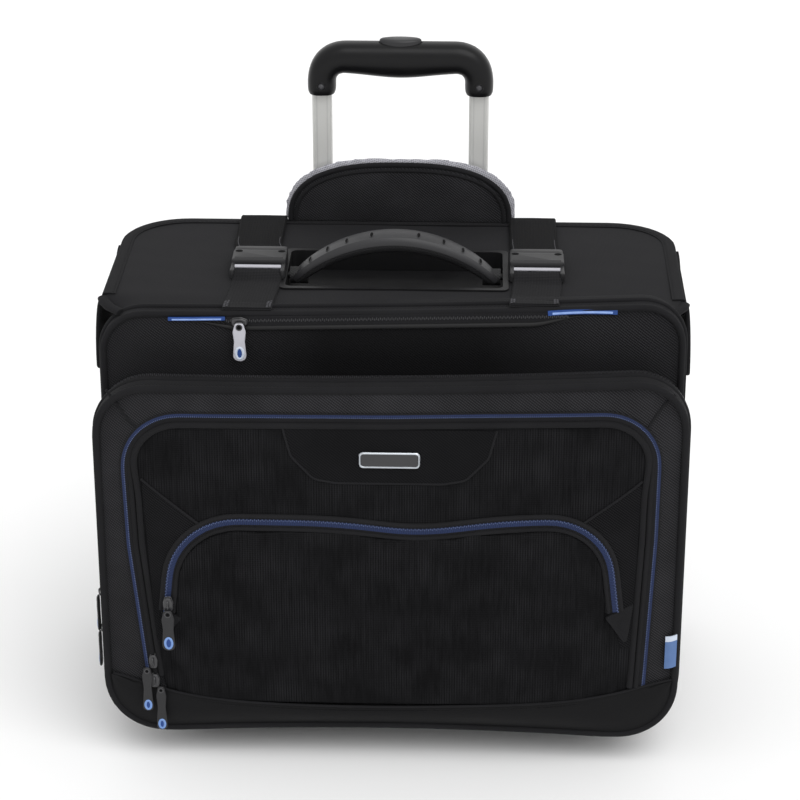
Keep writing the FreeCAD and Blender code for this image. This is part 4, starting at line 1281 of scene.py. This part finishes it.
def front_strip():
    """Cloth hinge between the lid's crease and the top edge of the front, and the bound corners beside it."""
    front, back = FRONT[0][1] + 3.5, CREASE_Y + 4
    rows = []
    for y in np.linspace(front, back, 16):
        half = 219 - 17 * ((back - y) / (back - front)) ** 1.5
        x = np.linspace(-half, half, 110)
        level_y = np.full(len(x), y)
        rows.append(np.column_stack([x, level_y, lid_height(x, level_y) + 0.1]))
    strip = Piece()
    strip.grid([folded(row, (0, 0, -1.5)) for row in rows], closed=True, ends=True)
    made = strip.object("front_strip", looks("lid"), None, ["lid_panel"], "case_fabric", project=True)
    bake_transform(made)
    corners = Piece()
    bends = np.array([(221.0, CREASE_Y - 0.6, 361.5), (219.5, -67, 361.3), (214, -75.5, 360),
                      (205, -83, 359)])
    for side in (-1, 1):
        higher = (0, 0, 1) * np.array([[0], [0], [1], [2]]) * (side > 0)
        path = spaced(bends * (side, 1, 1) + higher, step=2)
        corners.sweep(path, round_profile(4.4, 2.4, 16), UPWARD)
    corners.bind("front_corner_binding", "case", "front_pocket_shell")


def wings():
    """Side flaps that hang from the lid outside the case, flaring at their rear corners."""
    low, high = span("lid_wings")
    for side, name in ((-1, "wing_left"), (1, "wing_right")):
        rows = []
        for share in np.linspace(0, 1, 16):
            y = np.linspace(low[1] + 4 - 3 * share, high[1] - 9 * share ** 2, 34)
            front, back = ease((y - y[0]) / 14), ease((y[-1] - y) / 22)
            shorter = 5 * (1 - front) + 9 * (1 - back)
            drop = (high[2] - low[2] - 2 - shorter * share) * share
            flare = 7.0 * share ** 0.6 - 2.2 * share ** 2 + 2.5 * ease(y / 45) * share ** 2
            flare = flare * (1.0 if side < 0 else 0.65) + 0.9 * np.sin(y / 9 + side) * share
            rows.append(np.column_stack([side * (BINDING[1][0] - 0.4 + flare), y, high[2] - 2.4 - drop]))
        wing = Piece()
        wing.grid([folded(row, (side * 1.6, 0, 0)) for row in rows], closed=True, ends=True)
        hem = spaced(np.vstack([[r[0] for r in rows], rows[-1], [r[-1] for r in rows[::-1]]]), step=3)
        binding = Piece()
        binding.sweep(hem + (side * 0.8, 0, 0), round_profile(1.7, 1.9), (side, 0.0, 0.0))
        binding.bind(name + "_hem", "lid", "lid_wings")
        made = wing.object(name, looks("case"), "lid", ["lid_wings"], "case_fabric", project=True)


def mirrored(side, middle):
    """One side of a symmetrical profile, its middle point, and the other side."""
    return side + [middle] + [(-u, v) for u, v in side[::-1]]


def carry_handle():
    """Moulded carry handle: a smooth top band with slots, over a grained rubber grip."""
    low, high = span("carry_handle")
    middle_y = (low[1] + high[1]) / 2
    half_span, foot = high[0] - 4.5, 357.0
    apex = high[2] - 7.0
    rise = apex - foot
    radius = (half_span ** 2 + rise ** 2) / (2 * rise)
    swing = np.arcsin(half_span / radius)
    steps = 60
    angles = np.linspace(-swing, swing, steps + 1)
    outward = np.column_stack([np.sin(angles), np.zeros(steps + 1), np.cos(angles)])
    path = np.array((0.0, middle_y, apex - radius)) + outward * radius
    fat = np.cos(angles / swing * pi / 2) ** 0.6
    band_half, band_rise = 7.2 + 4.6 * fat, 3.6 + 3.2 * fat
    over = [(1.0, 0.10), (0.97, 0.55), (0.80, 0.90), (0.4, 1.0)]
    over = mirrored(over, (0.0, 1.03))[::-1]
    under = mirrored([(1.0, 0.10), (1.0, -0.15), (0.93, -0.60), (0.68, -0.93), (0.3, -1.06)], (0.0, -1.1))
    handle = Piece()
    for shape, slot, grow in ((over, 0, 0.35), (under, 1, 0.0)):
        rows = []
        for centre, out, half, high_by in zip(path, outward, band_half + grow, band_rise + grow):
            rows.append([centre + np.array((0, u * half, 0)) + out * v * high_by for u, v in shape])
        handle.grid(rows, closed=True, ends=True, slot=slot)
    slot_half, slot_depth = 1.5, 4.8
    for share in (-0.78, -0.6, -0.42, -0.2, 0.2, 0.42, 0.6, 0.78):
        angle = share * swing
        k = int(round((share + 1) / 2 * steps))
        reach = radius + band_rise[k] + 0.45
        centre = np.array((reach * sin(angle), middle_y - 2.2, apex - radius + reach * cos(angle)))
        slant = np.array((cos(angle), 0, -sin(angle)))
        ring = []
        for turn in turns(22):
            droop = outward[k] * 0.5 * (sin(turn) < 0) * sin(turn) ** 2
            ring.append(centre + (0, slot_depth * sin(turn), 0) + slant * slot_half * cos(turn) - droop)
        ring = np.array(ring)
        handle.roll(ring, 0.4, outward[k], closed=True)
        # painted shade: a near-black plate sunk in each slot stands in for its dark inside
        handle.inlay(ring + outward[k] * 0.25, outward[k], slot=2)
    pivot_z = 360.0
    for side in (-1, 1):
        ear = np.linspace((side * (high[0] - 14), middle_y, pivot_z), (side * high[0], middle_y, pivot_z), 4)
        handle.sweep(ear, round_profile(6.6, 6.6, 28), UPWARD, slot=1)
    handle.object("carry_grip", looks("handle_band", "grip_rubber", "hole"), "top_handle", ["carry_handle"],
                  "handle_rubber")


def arch_line(half_width, height, base):
    """A full-shouldered arch in (x, z), from its left foot over to its right foot."""
    angles = np.linspace(pi, 0, 90)
    x = np.sign(np.cos(angles)) * np.abs(np.cos(angles)) ** (2 / ARCH_POWER) * half_width
    z = base + np.abs(np.sin(angles)) ** (2 / ARCH_POWER) * height
    return spaced(np.column_stack([x, z]), count=90)


def tongue():
    """Rounded flap over the handle's mouth: twill front, two rims and a mesh back."""
    low, high = span("tongue_flap")
    back = span("tongue_lining")[1][1]
    base, height, half = low[2] + 0.4, high[2] - low[2], high[0]

    def front_face(x, z):
        reach = np.abs(x / half) ** ARCH_POWER + np.abs((z - base) / height) ** ARCH_POWER
        reach = np.clip(reach ** (1 / ARCH_POWER), 0, 1)
        return low[1] + 2.0 - 2.2 * (1 - reach ** 4) + ripple(x, z, 0.3)
    line = arch_line(half - 3.5, height - 2.5, base)
    front = Piece()
    front.disc(line, front_face, edge=2.4, rings=18)
    made = front.object("tongue_front", looks("twill"), "tongue", ["tongue_flap"], "twill_fabric",
                        project=True)
    rims = Piece()
    for shrink, y, radius in ((1.8, low[1] + 2.6, 2.2), (6.4, low[1] + 1.5, 1.5)):
        rim = arch_line(half - shrink, height - shrink, base)
        rims.roll(upright_ring(rim, y), radius, FORWARD)
    rims.bind("tongue_rims", "tongue", "tongue_flap")
    mesh_line = arch_line(half + 3.2, height + 2.8, base) + (0.6, 0)
    mesh_front, foot = low[1] + 6.0, np.array((0.0, base))
    centre = np.array((0.0, base + height * 0.45))
    rows = [upright_ring(centre + (mesh_line - centre) * share, mesh_front) for share in (0.05, 0.5, 0.95)]
    for share in (0.0, 0.35, 0.7, 1.0):
        grow = 1.0 + 0.012 * sin(pi * share)
        y = mesh_front + (back - low[1] - 6.6) * share
        rows.append(upright_ring(foot + (mesh_line - foot) * grow, y))
    for share in (0.96, 0.85, 0.6, 0.3, 0.05):
        rows.append(upright_ring(centre + (mesh_line - centre) * share, back + 0.3 * (1 - share)))
    pad = Piece()
    pad.grid(rows, closed=True, ends=True)
    made = pad.object("tongue_mesh", looks("mesh"), "tongue", ["tongue_lining"], "spacer_mesh", project=True)

    def sewn(points):
        return (points[:, 1] < mesh_front + 1) | (points[:, 2] < base + 3)
    puff(made, 3.0, 3.0, 2.0, sewn)


# ---------------------------------------------------------------- straps and buckles
FRONT_STRAP = span("front_strap_right")
STRAP_HALF = (FRONT_STRAP[1][0] - FRONT_STRAP[0][0]) / 2
STRAP_X = (FRONT_STRAP[1][0] + FRONT_STRAP[0][0]) / 2
# How far each strap is off its place, to the right: at its front end, at its buckle, and down the back.
LEANS = {"left": (2.0, 5.0, 0.0), "right": (-4.0, -1.0, -2.5)}


def strap_profile(half, thick=1.7):
    """Webbing in section, with slightly thinner edges."""
    over = [(-half, 0.3), (-half + 1.2, thick), (-half + 2.4, thick * 0.92), (0, thick),
            (half - 2.4, thick * 0.92), (half - 1.2, thick), (half, 0.3)]
    under = [(half - 1, 0.0), (0, 0.1), (1 - half, 0.0)]
    return np.array(over + under)


def front_webbing(side, name):
    """Webbing from its sewn end on the front strip, a little askew, to the buckle's bar."""
    socket = span("buckle_socket_" + name)
    tail_lean, buckle_lean = LEANS[name][:2]
    end = span("strap_tails")[0][1] - 3.5
    y = np.concatenate([np.linspace(end, CREASE_Y + 8, 22), np.linspace(CREASE_Y + 11, socket[0][1] + 8, 14)])
    x = side * STRAP_X + tail_lean + (buckle_lean - tail_lean) * ease((y - end) / (socket[0][1] - end))
    z = lid_height(x, y) + 0.5
    climb = ease((y - (socket[0][1] - 9)) / 13)
    z = z + climb * (socket[1][2] - 5.4 - z)
    path = np.column_stack([x, y, z])
    strap = Piece()
    strap.sweep(path, strap_profile(STRAP_HALF), UPWARD)
    hem_points, stitched_points = 6, 9
    hem = path[:hem_points] + (0, 0.4, 1.7)
    strap.sweep(hem, strap_profile(STRAP_HALF - 0.3, 1.4), UPWARD)
    for edge in (-1, 1):
        line = path[:stitched_points] + (edge * (STRAP_HALF - 2.8), 1.5, 2.0)
        line[:hem_points, 2] += 1.3
        strap.dotted(line, UPWARD, 1.35, (0.8, 1.5, 0.35), weave=1.0, slot=1)
    made = strap.object("front_webbing_" + name, looks("webbing", "thread"), None,
                        ["front_strap_" + name, "strap_tails"], "webbing")
    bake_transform(made)


def slab(piece, corners, z0, z1, bevel, count=72):
    """A rounded plate from z0 to z1 with bevelled rims."""
    ring = outline_of(corners, count)
    out = loop_normals(ring)
    steps = ((-bevel, z0), (0.0, z0 + bevel), (0.0, z1 - bevel), (-bevel * 0.3, z1 - bevel * 0.3),
             (-bevel, z1))
    piece.grid([level_ring(ring + out * grow, z) for grow, z in steps], closed=True, ends=True)


def buckle(side, name):
    """Side-release buckle: socket with its webbing bar, painted light grey as a highlight, and two arms, and
    plug with its prongs.
    """

    def across(piece, end, y, z, profile, slot=0):
        """A bar from side to side, end short of the socket's sides."""
        reach = half - end
        piece.sweep(np.linspace((x - reach, y, z), (x + reach, y, z), 8), profile, UPWARD, slot=slot)
    low, high = span("buckle_socket_" + name)
    plug_low, plug_high = span("buckle_plug_" + name)
    x, half = side * STRAP_X + LEANS[name][1], (high[0] - low[0]) / 2 - 1.2
    bottom, top, front = low[2], high[2], low[1] + 14
    socket = Piece()
    slab(socket, block_corners(half, front, high[1], 1.5, 1.5, x), bottom, top, bevel=1.6)
    for y in (front + 2.4, front + 4.6):
        across(socket, 2.5, y, top, round_profile(0.6, 0.45))
    for edge in (-1, 1):
        arm = [(edge * (half - 3.6) + x, low[1] - 3, 1.6), (edge * half + x, low[1] - 3, 1.6),
               (edge * (half - 0.3) + x, front + 2, 0.6), (edge * (half - 3.6) + x, front + 2, 0.6)]
        slab(socket, arm if edge > 0 else arm[::-1], bottom + 0.4, top - 2.6, bevel=1.0, count=48)
        # painted shade: near-black ovals on the socket's top, at its rear corners, stand in for two small
        # recesses
        spot = oval_ring(x + edge * (half - 4.6), high[1] - 4.6, 2.9, 2.3, 18)
        socket.inlay(level_ring(spot, top + 0.12), UPWARD, slot=1)
    across(socket, 1.0, low[1] - 1.0, bottom + 1.2, round_profile(2.0, 1.2))
    # painted highlight: the webbing bar is light grey to stand in for the glint along its top
    across(socket, 3.4, front - 7.5, top - 3.0, round_profile(1.8, 1.5), slot=2)
    socket.object("buckle_socket_" + name + "_moulding", looks("buckle", "hole", "buckle_bar_painted_highlight"), "lid",
                  ["buckle_socket_" + name], "buckle_plastic")
    plug = Piece()
    body = block_corners(half - 0.6, high[1] + 0.3, plug_high[1] - 12, 0.8, 3.0, x)
    slab(plug, body, bottom + 0.4, top - 0.9, bevel=1.3)
    for offset, wide in ((-16, 5), (0, 8), (16, 5)):
        prong = block_corners(wide / 2, plug_low[1] + 1, high[1] + 1.5, 1.5, 0.5, x + offset)
        slab(plug, prong, bottom + 2.6, top - 2.6, bevel=0.6)
    plug.object("buckle_plug_" + name + "_moulding", looks("buckle"), name + "_strap",
                ["buckle_plug_" + name], "buckle_plastic")


def rear_webbing(side, name):
    """Webbing from the plug over the back edge of the lid and down the back, stitched near its ends."""
    low, high = span("rear_strap_" + name)
    plug = span("buckle_plug_" + name)
    over, back = high[2] - 2.0, high[1] - 1.8
    corners = [(plug[1][1] - 15, over + 0.6, 0), (plug[1][1] + 6, over - 0.8, 12), (back, over + 0.1, 4),
               (back, low[2], 0)]
    line = spaced(rounded(corners, closed=False), step=3)
    buckle_lean, rear_lean = LEANS[name][1:]
    lean = buckle_lean + (rear_lean - buckle_lean) * ease((line[:, 0] - plug[1][1] + 12) / 30)
    path = np.column_stack([side * STRAP_X + lean, line])
    ahead = unit(np.gradient(line, axis=0))
    out = np.column_stack([np.zeros(len(line)), -ahead[:, 1], ahead[:, 0]])
    strap = Piece()
    strap.sweep(path, strap_profile(STRAP_HALF), out)
    seam_points = 8
    for edge in (-1, 1):
        for start in (6, len(line) - 12):
            run = slice(start, start + seam_points)
            part = path[run] + out[run] * 1.7 + (edge * (STRAP_HALF - 2.4), 0, 0)
            strap.dotted(part, out[start + seam_points // 2], 2.6, (1.6, 0.5, 0.35), slot=1)
    strap.object("rear_webbing_" + name, looks("webbing_back", "thread"), name + "_strap",
                 ["rear_strap_" + name], "webbing")


def anchor_patches():
    """Webbing patches sewn to the back under the rear straps, with a crossed box of stitches."""
    low, high = span("strap_anchors")
    half_width, half_box = 21.5, 17
    patch = Piece()
    for side in (-1, 1):
        x, y = side * STRAP_X, low[1]
        path = np.linspace((x, y, low[2]), (x, y, high[2]), 12)
        patch.sweep(path, strap_profile(half_width, 1.3), BACKWARD)
        x0, x1, z0, z1 = x - half_box, x + half_box, low[2] + 4, low[2] + 30
        box_line = upright_ring(np.array([(x0, z0), (x1, z0), (x1, z1), (x0, z1), (x0, z0), (x1, z1),
                                          (x1, z0), (x0, z1)]), y + 1.4)
        for k in range(len(box_line) - 1):
            patch.dotted(box_line[k:k + 2], BACKWARD, 3.2, (2.3, 0.5, 0.35), slot=1)
    patch.object("strap_anchor_patches", looks("webbing_back", "thread"), "case", ["strap_anchors"],
                 "webbing")


# ---------------------------------------------------------------- the back
def back_cover_ring(inset):
    """The padded cover in plan."""
    corners = block_corners(COVER[1][0] - inset, COVER[0][1] + 0.2, COVER[1][1] - inset, 1, 13)
    return outline_of(corners, 120)


def back_cover():
    """Soft cover over the handle tubes, quilted by two seams."""
    low, high = COVER[0][2], COVER[1][2]
    seams = (0.33, 0.66)
    rows = []
    for z in np.linspace(low, high, 40):
        share = (z - low) / (high - low)
        ring = back_cover_ring(1.2 - 1.4 * np.sin(pi * share) ** 0.4)
        out = loop_normals(ring)
        groove = sum(1.2 * np.exp(-((share - seam) / 0.012) ** 2) for seam in seams)
        rows.append(level_ring(ring - out * groove * (ring[:, 1:2] > COVER[0][1] + 4), z))
    cover = Piece()
    cover.grid(rows, closed=True, ends=True)
    made = cover.object("back_cover_cloth", looks("case"), "case", ["back_cover"], "case_fabric",
                        project=True)

    def still(points):
        return (points[:, 1] < COVER[0][1] + 6) | (points[:, 2] < low + 5) | (points[:, 2] > high - 5)

    def quilted(points):
        for seam in seams:
            off = points[:, 2] - low - seam * (high - low)
            points[:, 1] -= 3.0 * np.exp(-(off / 3.5) ** 2) * (points[:, 1] > COVER[0][1] + 9)
        return points
    puff(made, 5.0, 4.0, 5.0, still, quilted)
    piping = Piece()
    for side in (-1, 1):
        x, y = side * (COVER[1][0] + 1.2), COVER[0][1] + 1.4
        piping.roll(np.linspace((x, y, low), (x, y, high), 30), 1.9, (side, 0.0, 0.0))
    piping.bind("back_cover_piping", "case", "back_cover")


# ---------------------------------------------------------------- the telescopic handle's grip
def handle_grip():
    """Rounded grip that swells in the middle, with a well for the button and two sunk, rimmed screws."""
    low, high = span("grip_body")
    middle_y = (low[1] + high[1]) / 2
    leg_half, bend = 11.5, 19
    leg_x, bar_z = high[0] - leg_half, high[2] - 11.0
    corners = [(-leg_x, low[2], 0), (-leg_x, bar_z, bend), (leg_x, bar_z, bend), (leg_x, low[2], 0)]
    line = spaced(rounded(corners, closed=False), step=2.0)
    ahead = unit(np.gradient(line, axis=0))
    normal = np.column_stack([-ahead[:, 1], ahead[:, 0]])
    belly = np.exp(-(line[:, 0] / 34) ** 2) * (line[:, 1] > high[2] - 14)
    depth = (high[1] - low[1]) / 2
    angles = turns(40)
    across = np.sign(np.sin(angles)) * np.abs(np.sin(angles)) ** 0.8
    front = np.sign(np.cos(angles)) * np.abs(np.cos(angles)) ** 0.8
    rows = []
    for step, (point, out, sag) in enumerate(zip(line, normal, belly)):
        from_end = min(step, len(line) - 1 - step) * 2.0
        shrink = 1 - 0.10 * np.exp(-from_end / 1.6)
        fat = leg_half + 1.5 * ease((point[1] - high[2] + 28) / 16)
        reach = np.where(across < 0, leg_half, fat) * across - 4.4 * sag * np.maximum(-across, 0)
        reach = reach * shrink
        rows.append(np.column_stack([point[0] + out[0] * reach, middle_y + depth * front * shrink,
                                     point[1] + out[1] * reach]))
    grip = Piece()
    grip.grid(rows, closed=True, ends=True)
    work = grip.object("grip_moulding", looks("grip"), None, slot="grip_plastic")
    hole_radius, rim_radius, head_radius = 2.5, 3.1, 1.8
    well = oval_ring(0.0, middle_y, 17.6, 8.2)
    carve(work, [level_ring(well, high[2] - 7), level_ring(well, high[2] + 8)])
    screws = span("grip_screws")
    rims = Piece()
    screw_half, z = (screws[1][2] - screws[0][2]) / 2, (screws[0][2] + screws[1][2]) / 2
    for side in (-1, 1):
        x = side * (screws[1][0] - screw_half)
        hole = oval_ring(x, z, hole_radius, hole_radius)
        carve(work, [upright_ring(hole, screws[0][1] - 4), upright_ring(hole, screws[0][1] + 1.5)])
        rim_path = upright_ring(oval_ring(x, z, rim_radius, rim_radius), low[1] + 0.2)
        rims.sweep(rim_path, round_profile(0.55, 0.6), FORWARD, closed=True)
        rims.grid([upright_ring(oval_ring(x, z, size, size), screws[0][1] - out) for size, out in
                   ((head_radius, -0.6), (head_radius, 0.5), (head_radius - 0.5, 0.9))],
                  closed=True, ends=True, slot=1)
    rims.object("grip_screw_rims", looks("grip", "hub"), "handle_stage_2")
    tidy_mesh(work.data, 40)
    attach(work, "handle_stage_2")
    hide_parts("grip_body")


def handle_button():
    """Domed oval push button in the top of the grip."""
    low, high = span("release_button")
    middle_y = (low[1] + high[1]) / 2
    half_width, half_depth = 17.0, 7.6
    steps = ((0.0, -10), (0.0, 0.6), (0.35, 1.6), (1.3, 2.3), (4.0, 2.6), (7.0, 2.7))
    rows = [level_ring(oval_ring(0.0, middle_y, half_width - inset, half_depth - inset), high[2] + rise)
            for inset, rise in steps]
    button = Piece()
    button.grid(rows, closed=True, ends=True)
    button.object("button_cap", looks("button"), "handle_button", ["release_button"], "buckle_plastic")


# ---------------------------------------------------------------- sliders and pullers
def plate_rows(outline, y0, y1, bevel):
    """Rings of a bevelled upright plate between two depths."""
    out = loop_normals(outline)
    steps = ((-bevel, y0), (0, y0 + bevel), (0, y1 - bevel), (-bevel, y1))
    return [upright_ring(outline + out * grow, y) for grow, y in steps]


def puller_outline(width, length, top):
    """A waisted tab hanging from top, round at its free end."""
    half = width / 2
    right = [(half, top - length, half * 0.85), (half - 1.3, top - length * 0.48, 5),
             (half - 0.4, top - length * 0.22, 5), (half * 0.55, top, 2)]
    left = [(-x, z, radius) for x, z, radius in right[::-1]]
    corners = left[-1:] + right + left[:-1]
    return outline_of(corners, 90)


def turned(points, sideways, origin):
    """Turns a front-facing shape to face left about the upright line through origin."""
    points = np.asarray(points, float)
    if not sideways:
        return points
    moved = points - origin
    return np.stack([moved[..., 1], -moved[..., 0], moved[..., 2]], axis=-1) + origin


def puller(name, pale):
    """A puller with an eyelet at the top and a rimmed, coloured oval in its free end."""
    low, high = span(name + "_puller")
    sideways = high[0] - low[0] < high[1] - low[1]
    width = (high[1] - low[1]) if sideways else (high[0] - low[0])
    middle = (low + high) / 2
    length = high[2] - low[2]
    origin = np.array((middle[0], middle[1], 0.0))
    outline = puller_outline(width, length, high[2])
    outline[:, 0] += middle[0]
    y0, y1 = middle[1] - PULLER_THICK / 2, middle[1] + PULLER_THICK / 2
    piece = Piece()
    piece.grid(turned(plate_rows(outline, y0, y1, 0.45), sideways, origin), closed=True, ends=True)
    oval = oval_ring(middle[0], low[2] + width * 0.62, width * 0.25, width * 0.42, 28)
    ring = upright_ring(oval, y0 - 0.05)
    facing = np.array((-1.0, 0.0, 0.0)) if sideways else FORWARD
    piece.sweep(turned(ring, sideways, origin), round_profile(0.95, 0.45), facing, closed=True, slot=1)
    piece.inlay(turned(upright_ring(oval, y0 - 0.15), sideways, origin), facing, slot=2)
    eye, hole = (oval_ring(middle[0], high[2] - 3.0, size, size, 18) for size in (width * 0.20, width * 0.16))
    piece.sweep(turned(upright_ring(eye, y0), sideways, origin), round_profile(0.5, 0.35), facing,
                closed=True, slot=3)
    # painted shade: a near-black plate fills the eyelet's hole
    piece.inlay(turned(upright_ring(hole, y0 - 0.1), sideways, origin), facing, slot=4)
    body_look, ring_look = ("puller_grey", "pale_ring_and_painted_highlight") if pale else ("puller", "accent_ring")
    piece.object(name + "_tab", looks(body_look, ring_look, "accent_dark", "slider", "hole"), name + "_pull",
                 [name + "_puller"], "puller_grey" if pale else "puller_black")


def slider(name):
    """A zip slider: a shield-shaped body with a raised bridge and, on the front zip, a wire link."""
    low, high = span(name + "_slider")
    size = high - low
    sideways = size[0] < size[1] - 0.5 and name.startswith("organiser")
    middle = (low + high) / 2
    origin = np.array((middle[0], middle[1], 0.0))
    wide = size[1] if sideways else size[0]
    half_w, half_h = wide / 2, size[2] / 2
    depth = size[0] if sideways else size[1]
    flat = wide > size[2]
    if flat:
        corners = [(-half_w, -half_h * 0.8, 2), (half_w * 0.2, -half_h, 2), (half_w, -half_h * 0.5, 1.5),
                   (half_w, half_h * 0.5, 1.5), (half_w * 0.2, half_h, 2), (-half_w, half_h * 0.8, 2)]
    else:
        corners = [(-half_w * 0.8, -half_h, 2), (half_w * 0.8, -half_h, 2), (half_w, half_h * 0.2, 2),
                   (half_w * 0.6, half_h, 1.5), (-half_w * 0.6, half_h, 1.5), (-half_w, half_h * 0.2, 2)]
    outline, place = outline_of(corners, 60), (middle[0], middle[2])
    back = middle[1] + depth / 2
    piece = Piece()
    for y0, y1, share in ((back - 0.9, back, 1.0), (back - 3.0, back - 2.0, 0.92)):
        rows = plate_rows(outline * share + place, y0, y1, 0.35)
        piece.grid(turned(rows, sideways, origin), closed=True, ends=True)
    neck = outline * 0.45 + place
    piece.grid(turned([upright_ring(neck, back - 2.2), upright_ring(neck, back - 0.7)], sideways, origin),
               closed=True, ends=True)
    reach = half_w * 0.55 if flat else half_h * 0.55
    ahead = np.array((1.0, 0.0, 0.0)) if flat else UPWARD
    feet = np.array((middle[0], back - 3.0, middle[2]))
    bridge = np.array([feet + FORWARD * 1.5 * sin(turn) - ahead * reach * cos(turn)
                       for turn in np.linspace(0, pi, 14)])
    piece.sweep(turned(bridge, sideways, origin), round_profile(0.9, 0.55), np.array((0.3, 0.2, 0.9)))
    if name == "front_zip":
        link = upright_ring(oval_ring(middle[0], middle[2] - half_h * 0.6, 3.6, 3.0, 28), back - 4.6)
        piece.sweep(link, round_profile(0.6, 0.6), FORWARD, closed=True)
    piece.object(name + "_slider_moulding", looks("slider"), name + "_slide", [name + "_slider"],
                 "slider_metal")


# ---------------------------------------------------------------- frame nodes kept as they are
def dress_frame():
    """Gives the hard frame nodes their materials, and rounds their edges by a width in millimetres."""
    dress = {
        "handle_tray": ("tray", 0.8), "base_bracket": ("moulded", 0.8), "handle_bezel": ("moulded", 0.8),
        "bottom_board": ("board", 0), "wheel_housing_left": ("moulded", 1.2),
        "wheel_housing_right": ("moulded", 1.2), "wheel_axles": ("steel", 0), "front_feet": ("rubber", 1.0),
        "base_screws": ("dark_steel", 0), "tyre_left": ("rubber", 0), "tyre_right": ("rubber", 0),
        "hub_left": ("hub", 0.5), "hub_right": ("hub", 0.5), "outer_tubes": ("tube", 0.3),
        "mid_tubes": ("tube", 0.3), "inner_tubes": ("tube", 0.3), "grip_screws": ("dark_steel", 0),
        "push_rods": ("steel", 0),
    }
    for name, (look, width) in dress.items():
        node = frame["nodes"][name]
        node.data.materials.clear()
        node.data.materials.append(LOOKS[look])
        if width:
            soften = node.modifiers.new("soften", "BEVEL")
            soften.width = width * MM
            soften.segments = 3
            soften.limit_method = "ANGLE"
            soften.angle_limit = radians(40)
            soften.harden_normals = True


# ---------------------------------------------------------------- studio
def studio():
    """Pale floor, soft light and the camera."""
    scene = bpy.context.scene
    scene.view_settings.view_transform = "Standard"
    world = bpy.data.worlds.new("studio")
    world.use_nodes = True
    sky = world.node_tree.nodes["Background"]
    sky.inputs["Color"].default_value = (1.0, 1.0, 1.0, 1.0)
    sky.inputs["Strength"].default_value = 0.90
    scene.world = world
    bpy.ops.mesh.primitive_plane_add(size=80)
    floor = bpy.context.object
    floor.location.z = -0.4 * MM
    floor.name = "floor"
    look = Look("floor", 0.9, 0.1)
    shade = look.cloud(look.body_map(), 900.0)
    neutral = (1, 1, 1)
    floor.data.materials.append(look.finish(look.mix(shade, grey(0.90, neutral), grey(0.93, neutral))))
    sun = bpy.data.lights.new("key", "SUN")
    sun.energy = 1.35
    sun.angle = radians(50)
    key = bpy.data.objects.new("key", sun)
    shining = Vector((-0.35, 0.62, -1.0))
    key.rotation_euler = shining.to_track_quat("-Z", "Y").to_euler()
    scene.collection.objects.link(key)
    camera = bpy.data.objects.new("camera", bpy.data.cameras.new("camera"))
    camera.data.lens = 117
    camera.data.sensor_width = 36
    camera.location = (0.0631, -1.8959, 1.0971)
    look_at = Vector((0.0076, -0.130, 0.3105))
    camera.rotation_euler = (look_at - camera.location).to_track_quat("-Z", "Y").to_euler()
    camera.data.clip_end = 200
    scene.collection.objects.link(camera)
    scene.camera = camera


def main():
    for build in (studio, dress_frame, organiser_body, organiser_rolls, organiser_side_zip, organiser_front,
                  pocket_zip, pocket, lower_pocket, bottom_band, badge_plate, side_label,
                  organiser_hinge_cloth, case_walls, case_rim, upper_front, front_zip, lid_cloth, lid_edge,
                  front_strip, wings, carry_handle, tongue):
        build()
    for side, name in ((-1, "left"), (1, "right")):
        front_webbing(side, name)
        buckle(side, name)
        rear_webbing(side, name)
    anchor_patches()
    back_cover()
    handle_grip()
    handle_button()
    for name in ("front_zip", "pocket_zip_upper", "pocket_zip_lower", "lower_pocket_zip",
                 "organiser_zip_upper", "organiser_zip_lower"):
        slider(name)
        puller(name, pale=name == "front_zip")


main()
